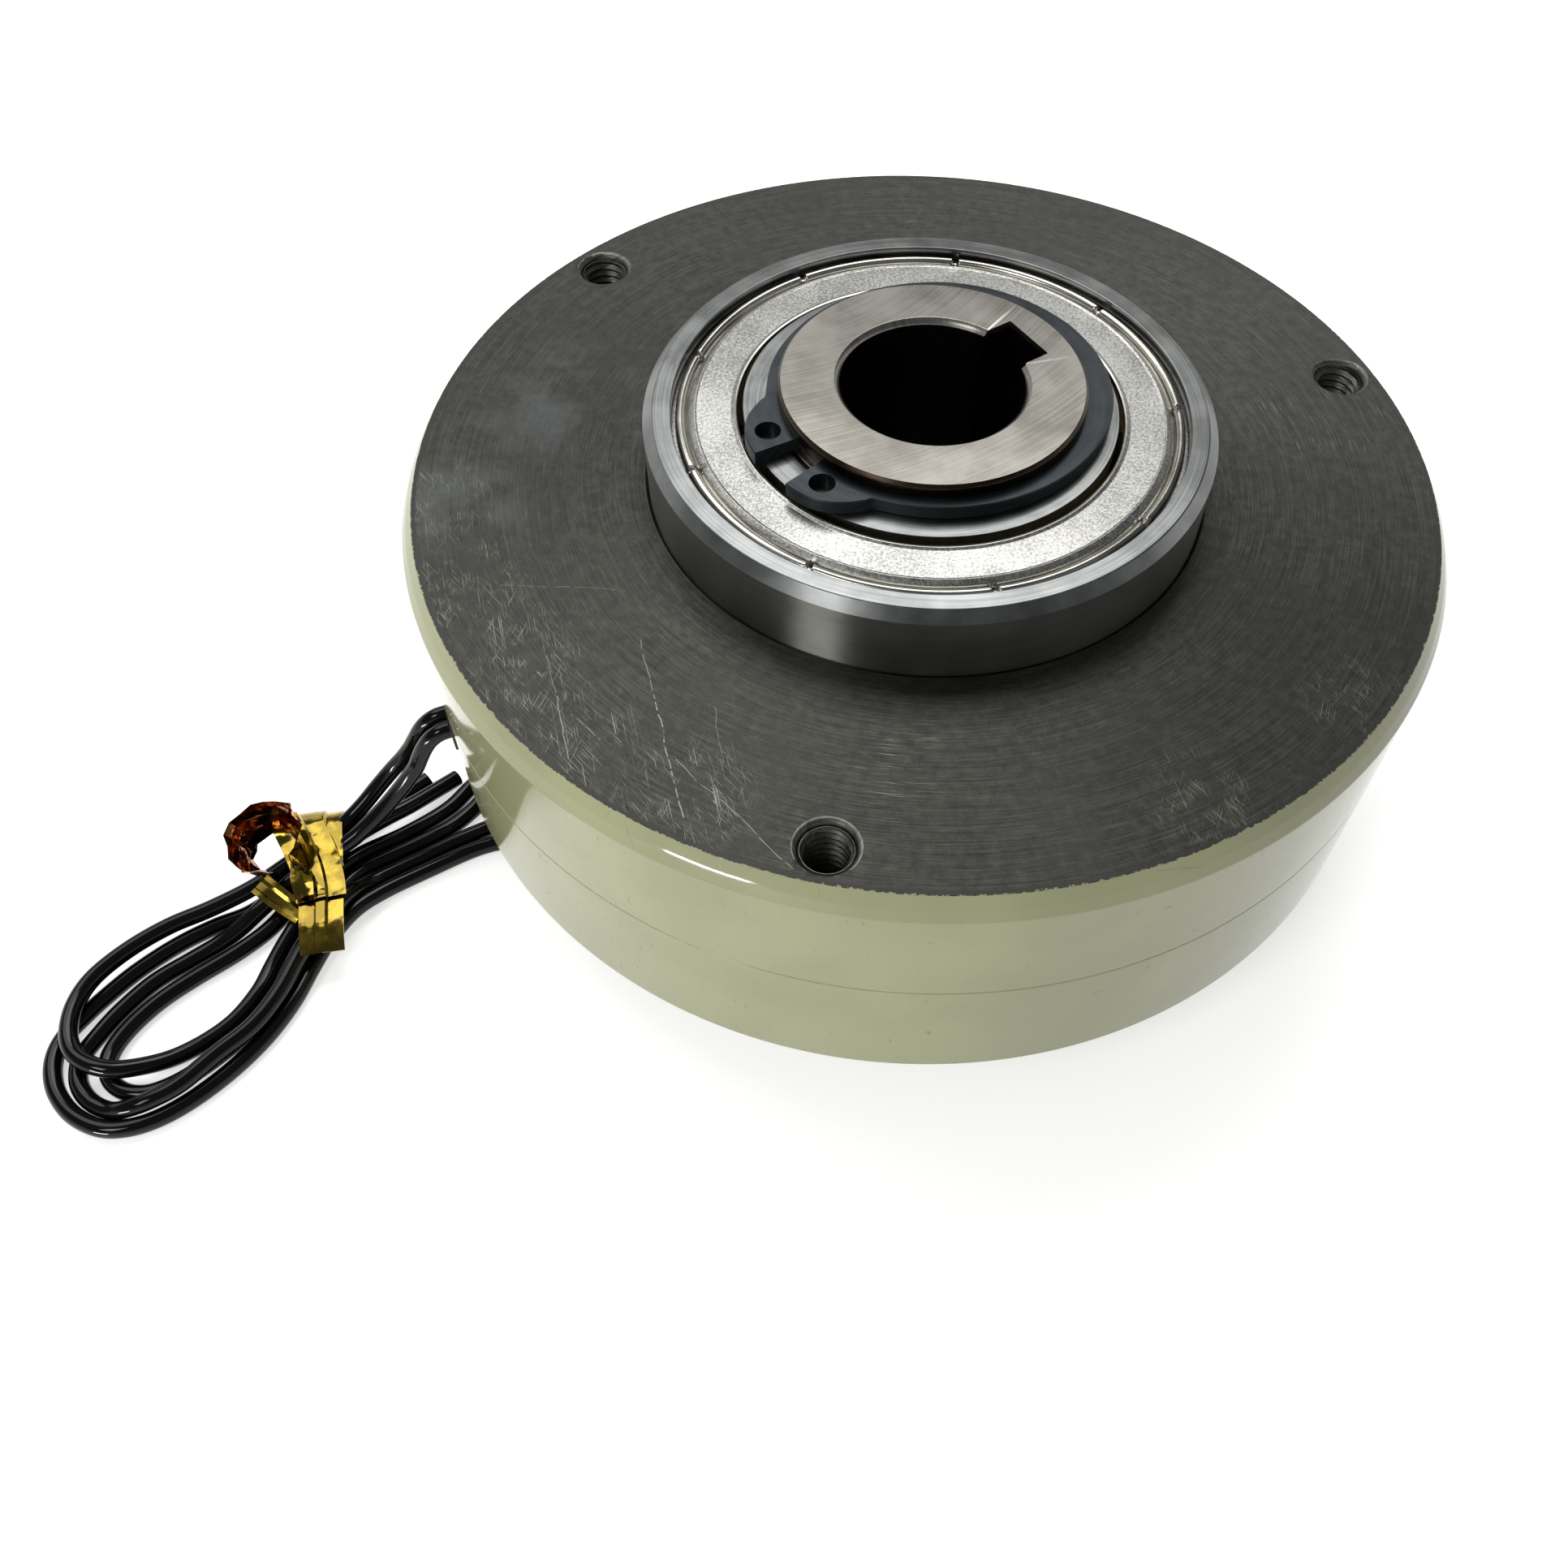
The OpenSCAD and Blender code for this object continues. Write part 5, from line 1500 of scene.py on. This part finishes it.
@dataclass
class BallBearing:
    """One shielded ball bearing, drawn about its own middle; the rear one is the front one upside down."""

    prefix: str
    middle: float
    mirrored: bool
    half_w: float = 6.0
    outer_r: float = 23.5
    bore_r: float = 12.51
    track_r: float = 3.62
    outer_track: float = 17.91
    outer_land: float = 20.2
    inner_track: float = 18.09
    inner_land: float = 15.3
    bead: tuple[float, float] = (20.425, 5.075)
    bead_half: tuple[float, float] = (0.42, 0.47)
    notches: int = 9
    notch_angle: float = 13.4
    notch_w: float = 0.6
    notch_circle: float = 20.4
    notch_deep: float = 0.42

    def placed(self, shell: Shell) -> Shell:
        """Moves a shell from the bearing's middle to its place, upside down for the rear bearing.

        Args:
            shell: what is moved.
        Returns:
            The moved shell.
        """
        if self.mirrored:
            return upside_down(shell, self.middle)
        return shifted(shell, z=self.middle)

    def outer_ring(self) -> Shell:
        """Outer ring: rounded corners, a step for each shield and the ball track as an arc.

        Returns:
            The shell, with finish 1 on its outer wall.
        """
        half = math.acos((self.outer_land - self.outer_track) / self.track_r)
        bow = np.linspace(-half, half, 17)
        track = np.stack([self.outer_track + self.track_r * np.cos(bow), self.track_r * np.sin(bow)], axis=1)
        upper = rounded([
            (self.outer_land, 4.5, 0.02), (21.45, 4.5, 0.02), (21.45, 4.81, 0.05), (21.2, 5.1, 0.05),
            (21.2, self.half_w, 0.08), (self.outer_r - 0.85, self.half_w, 0.25),
            (self.outer_r, self.half_w - 0.85, 0.4)], 4, closed=False)
        profile = np.vstack([track, upper, upper[::-1] * (1, -1)])
        middle = (profile + np.roll(profile, -1, axis=0)) / 2
        return lathe(profile, 256, np.where(middle[:, 0] > self.outer_r - 0.2, 1, 0))

    def inner_ring(self) -> Shell:
        """Inner ring: bore, chamfered faces and the ball track as an arc.

        Returns:
            The shell.
        """
        half = math.acos((self.inner_track - self.inner_land) / self.track_r)
        bow = np.linspace(half, -half, 17)
        track = np.stack([self.inner_track - self.track_r * np.cos(bow), self.track_r * np.sin(bow)], axis=1)
        w = self.half_w
        rest = rounded([
            (self.inner_land, -w, 0.12), (12.9, -w, 0.1), (self.bore_r, -w + 0.4, 0.1),
            (self.bore_r, w - 0.4, 0.1), (12.9, w, 0.1), (self.inner_land, w, 0.12)], 3, closed=False)
        return lathe(np.vstack([track, rest]), 256)

    def shield_angles(self, notch: Array) -> Array:
        """Angles of the shield's grid: evenly spaced, with eight more round each notch.

        Args:
            notch: the notches' angles in radians.
        Returns:
            The angles in radians, in order.
        """
        offsets = np.array([-0.62, -0.45, -0.3, -0.15, 0.15, 0.3, 0.45, 0.62])
        spread = offsets[None, :] * self.notch_w / self.notch_circle
        extra = (notch[:, None] + spread).ravel() % (2 * math.pi)
        return np.unique(np.round(np.concatenate([around(288), extra]), 6))

    def shield(self) -> Shell:
        """Pressed shield with a rolled bead that is nicked at even steps.

        The bead is a round hump. It is pressed down all along the first 0.12 mm to either side of a
        notch's middle, and less and less over the next 0.22 mm, by a smooth step.

        Returns:
            The shell, with finish 1 on the bead and on the lip at the hole.
        """
        notch = np.radians(self.notch_angle + np.arange(self.notches) * 360 / self.notches)
        angles = self.shield_angles(notch)
        bow = np.linspace(math.pi, 0, 13)
        hump = np.stack([self.bead[0] + self.bead_half[0] * np.cos(bow),
                         self.bead[1] + self.bead_half[1] * np.sin(bow)], axis=1)
        top = rounded([
            (15.8, 5.35, 0.1), (15.82, 5.62, 0.08), (16.05, 5.66, 0.1), (16.3, 5.52, 0.2), (19.1, 5.5, 0.2),
            (19.25, 5.58, 0.1), (19.72, 5.3, 0.1), (19.88, 4.95, 0.05)], 3, closed=False)
        edge = rounded([
            (20.88, 4.85, 0.02), (21.4, 4.8, 0.02), (21.4, 4.51, 0.02), (20, 4.51, 0.02), (19.66, 5.0, 0.02),
            (19.1, 5.25, 0.02), (15.9, 5.15, 0.05)], 3, closed=False)
        profile = np.vstack([top, hump, edge])
        grid = turned(profile, angles)
        apart = np.abs((angles[:, None] - notch[None, :] + math.pi) % (2 * math.pi) - math.pi).min(axis=1)
        press = 1 - np.clip((apart * self.notch_circle - 0.12) / 0.22, 0, 1)
        press = press * press * (3 - 2 * press)
        on_bead = np.clip(1 - np.abs(profile[:, 0] - 20.35) / 0.75, 0, 1) * (profile[:, 1] > 4.9)
        grid[..., 2] -= self.notch_deep * np.minimum(1, 1.6 * on_bead)[:, None] * press[None, :]
        rows = np.zeros(len(profile), int)
        lip_rows = 8
        rows[:lip_rows] = 1
        rows[len(top) - 2:len(top) + len(hump)] = 1
        return Shell.of_grid(grid, finish=rows).outward()

    def build(self) -> None:
        """Makes both rings and the outer shield, and dresses what stays inside."""
        pre = self.prefix
        for name, node, shell, finishes, body, slot in (
                ("_race_outer", "_outer_ring", self.outer_ring(), (Finish.RING, Finish.SIDE),
                 "stator", "bearing_steel"),
                ("_race_inner", "_inner_ring", self.inner_ring(), (Finish.RING,), "rotor", "bearing_steel"),
                ("_shield", "_outer_shield", self.shield(), (Finish.SHIELD, Finish.BEAD),
                 "stator", "shield_steel")):
            piece = make(pre + name, self.placed(shell), [finish.material for finish in finishes])
            place(piece, body, (pre + node,))
        dress(pre + "_inner_shield", Finish.SHIELD.material)
        dress(pre + "_balls", Finish.BALL.material)
        dress(pre + "_cage", Finish.CAGE.material)


# The shaft, its retaining rings and the rotor

@dataclass
class RetainingRing:
    """External retaining ring: thinner towards the gap, with two lugs and plier holes."""

    name: str
    node: str
    low: float
    thick: float = 1.2
    inner_r: float = 11.96
    gap_angle: float = -132.0
    gap: float = 3.1
    hole_r: float = 1.05
    hole_circle: float = 14.06
    hole_offset: float = 15.0
    edge: float = 0.08
    outline: tuple[tuple[float, float], ...] = (
        (6.0, 16.0), (10.5, 16.05), (16.7, 15.85), (21.0, 15.45), (25.0, 14.9), (30.0, 14.0), (34.0, 13.42),
        (52.0, 13.45), (77.0, 13.6), (110.0, 14.1), (142.0, 14.7), (180.0, 14.9),
    )

    def build(self) -> None:
        """Makes the ring: its outer radius follows the outline, the same on both sides of the gap.

        The gap has parallel sides: at radius r the ring starts where |sin a| is gap / 2 / r.
        """
        half = np.degrees(np.arcsin(self.gap / 2 / self.inner_r))
        phi = np.linspace(half, 360 - half, 361)
        fine = smooth_path(self.outline, 400)
        outer = np.interp(np.minimum(phi, 360 - phi), fine[:, 0], fine[:, 1])
        inner, edge, thick = self.inner_r, self.edge, self.thick
        rows = [(inner + edge, 0), (outer - edge, 0), (outer, edge), (outer, thick - edge),
                (outer - edge, thick), (inner + edge, thick), (inner, thick - edge), (inner, edge)]
        radius = np.stack([np.broadcast_to(r, phi.shape) for r, _ in rows], axis=1)
        height = np.broadcast_to(self.low + np.array([z for _, z in rows]), radius.shape)
        limit = np.degrees(np.arcsin(np.clip(self.gap / 2 / radius, -1, 1)))
        angle = np.radians(np.clip(phi[:, None], limit, 360 - limit)) + math.radians(self.gap_angle)
        points = np.stack([radius * np.cos(angle), radius * np.sin(angle), height], axis=-1)
        shell = Shell.of_grid(points, wrap_rows=False, caps=True).outward()
        piece = make(self.name, shell, [Finish.CLIP.material], 30)
        ends = np.array([(self.hole_r, self.low - 1), (self.hole_r, self.low + thick + 1)])
        hole = shifted(StatorHousing.plug(ends, 32), x=self.hole_circle)
        holes = joined(spun(hole, self.gap_angle + side * self.hole_offset) for side in (-1, 1))
        carved(piece, holes, Finish.CLIP.material, 30)
        place(piece, "rotor", (self.node,))


@dataclass
class HollowShaft:
    """The hollow shaft with its keyway along the whole bore."""

    bore_r: float = 7.5
    key_r: float = 9.8
    key_half: float = 2.5
    key_angle: float = 46.0
    ends: tuple[float, float] = (0.5, 41.8)
    outer_r: float = 12.5
    groove_r: float = 11.95
    groove_w: float = 1.3
    grooves: tuple[float, float] = (1.6, 39.4)
    collar_r: float = 15.3
    collar: tuple[float, float] = (14.9, 27.4)
    flange_r: float = 21.0
    flange: tuple[float, float] = (19.0, 22.0)
    mouth: tuple[tuple[float, float], ...] = ((0.46, 0.0), (0.4, 0.02), (0.04, 0.38), (0.0, 0.5))

    def angles(self) -> Array:
        """Angles round the shaft, with more of them at the keyway's walls and floor.

        Returns:
            The angles from the keyway's middle in radians, in order.
        """
        wall = np.degrees(math.asin(self.key_half / self.bore_r))
        deep = np.degrees(math.atan2(self.key_half, self.key_r))
        even = np.arange(0, 360, 1.5)
        side = np.linspace(deep - 0.3, wall + 0.3, 14)
        extra = np.concatenate([side, -side, [-deep, deep]])
        return np.radians(np.unique(np.round(np.concatenate([even, (extra + 360) % 360]), 5)))

    def groove(self, low: float) -> list[tuple[float, float, float]]:
        """Corners of a retaining ring's groove, upwards from the given height."""
        high = low + self.groove_w
        return [(self.outer_r, low, 0.05), (self.groove_r, low, 0.05), (self.groove_r, high, 0.05),
                (self.outer_r, high, 0.05)]

    def key_shape(self, base: Array, angles: Array) -> Array:
        """Radius of the bore: at least base, and out to the key's floor and walls within the keyway.

        max(base, min(key_r / cos a, key_half / |sin a|)) where cos a > 0, and base elsewhere.

        Args:
            base: radius of the bore in mm.
            angles: angles from the keyway's middle in radians.
        Returns:
            The radius at each angle.
        """
        cosine, sine = np.cos(angles), np.abs(np.sin(angles))
        slot = np.minimum(self.key_r / np.maximum(cosine, 1e-6), self.key_half / np.maximum(sine, 1e-6))
        return np.where(cosine > 0, np.maximum(base, slot), base)

    def build(self) -> None:
        """Makes the shaft from its outer outline and the bore's shape."""
        angles = self.angles()
        spin = angles + math.radians(self.key_angle)
        low, high = self.ends
        outer = rounded([
            (self.outer_r - 0.25, low, 0.1), (self.outer_r, low + 0.25, 0.1), *self.groove(self.grooves[0]),
            (self.outer_r, self.collar[0], 0.2), (self.collar_r, self.collar[0], 0.15),
            (self.collar_r, self.flange[0], 0.4), (self.flange_r, self.flange[0], 0.15),
            (self.flange_r, self.flange[1], 0.15), (self.collar_r, self.flange[1], 0.4),
            (self.collar_r, self.collar[1], 0.15), (self.outer_r, self.collar[1], 0.2),
            *self.groove(self.grooves[1]), (self.outer_r, high - 0.25, 0.1),
            (self.outer_r - 0.25, high, 0.1)], 3, closed=False)
        mouth = np.array(self.mouth)
        bore = np.vstack([mouth * (1, -1) + (self.bore_r, high), mouth[::-1] + (self.bore_r, low)])
        radius = self.key_shape(bore[:, :1], angles[None, :])
        inside = np.broadcast_arrays(radius * np.cos(spin), radius * np.sin(spin), bore[:, 1:])
        line = np.vstack([outer, bore])
        rows = np.where((line[:, 1] > high - 1.2) & (line[:, 0] > self.outer_r - 0.1), 1, 0)
        # The bore's wall is near black, painted shade for the shadow down the hole
        rows[len(outer) + len(mouth) - 1:-1] = 2
        grid = np.concatenate([turned(outer, spin), np.stack(inside, axis=-1)])
        shell = Shell.of_grid(grid, finish=rows).outward()
        finishes = [Finish.SHAFT.material, Finish.DARK_BROWN.material, Finish.BORE.material]
        place(make("keyed_shaft", shell, finishes), "rotor", ("hollow_shaft",))


def dress_inner_works() -> None:
    """Gives the hidden CAD nodes their finishes."""
    finishes = {
        "gap_ring": Finish.BRASS, "coil_bobbin": Finish.BOBBIN, "coil_winding": Finish.WINDING,
        "coil_tails": Finish.LEAD, "powder_charge": Finish.POWDER, "front_powder_seal": Finish.FELT,
        "rear_powder_seal": Finish.FELT, "rotor_drum": Finish.ROTOR, "rotor_screws": Finish.BLACK,
    }
    for node, finish in finishes.items():
        dress(node, finish.material)


def main() -> None:
    """Builds the camera, the studio and every sub-assembly in order."""
    logging.basicConfig(level=logging.INFO, format="%(name)s: %(message)s", stream=sys.stdout)
    bpy.context.scene.view_settings.view_transform = "Standard"
    PhotoCamera().build()
    LeadPair().build()
    Studio().build()
    TwistTie().build()
    StatorHousing().build()
    BallBearing("front", 33.4, False).build()
    BallBearing("rear", 8.9, True).build()
    HollowShaft().build()
    RetainingRing("front_retaining_ring", "front_circlip", 39.41).build()
    RetainingRing("rear_retaining_ring", "rear_circlip", 1.69).build()
    dress_inner_works()


if __name__ == "__main__":
    main()
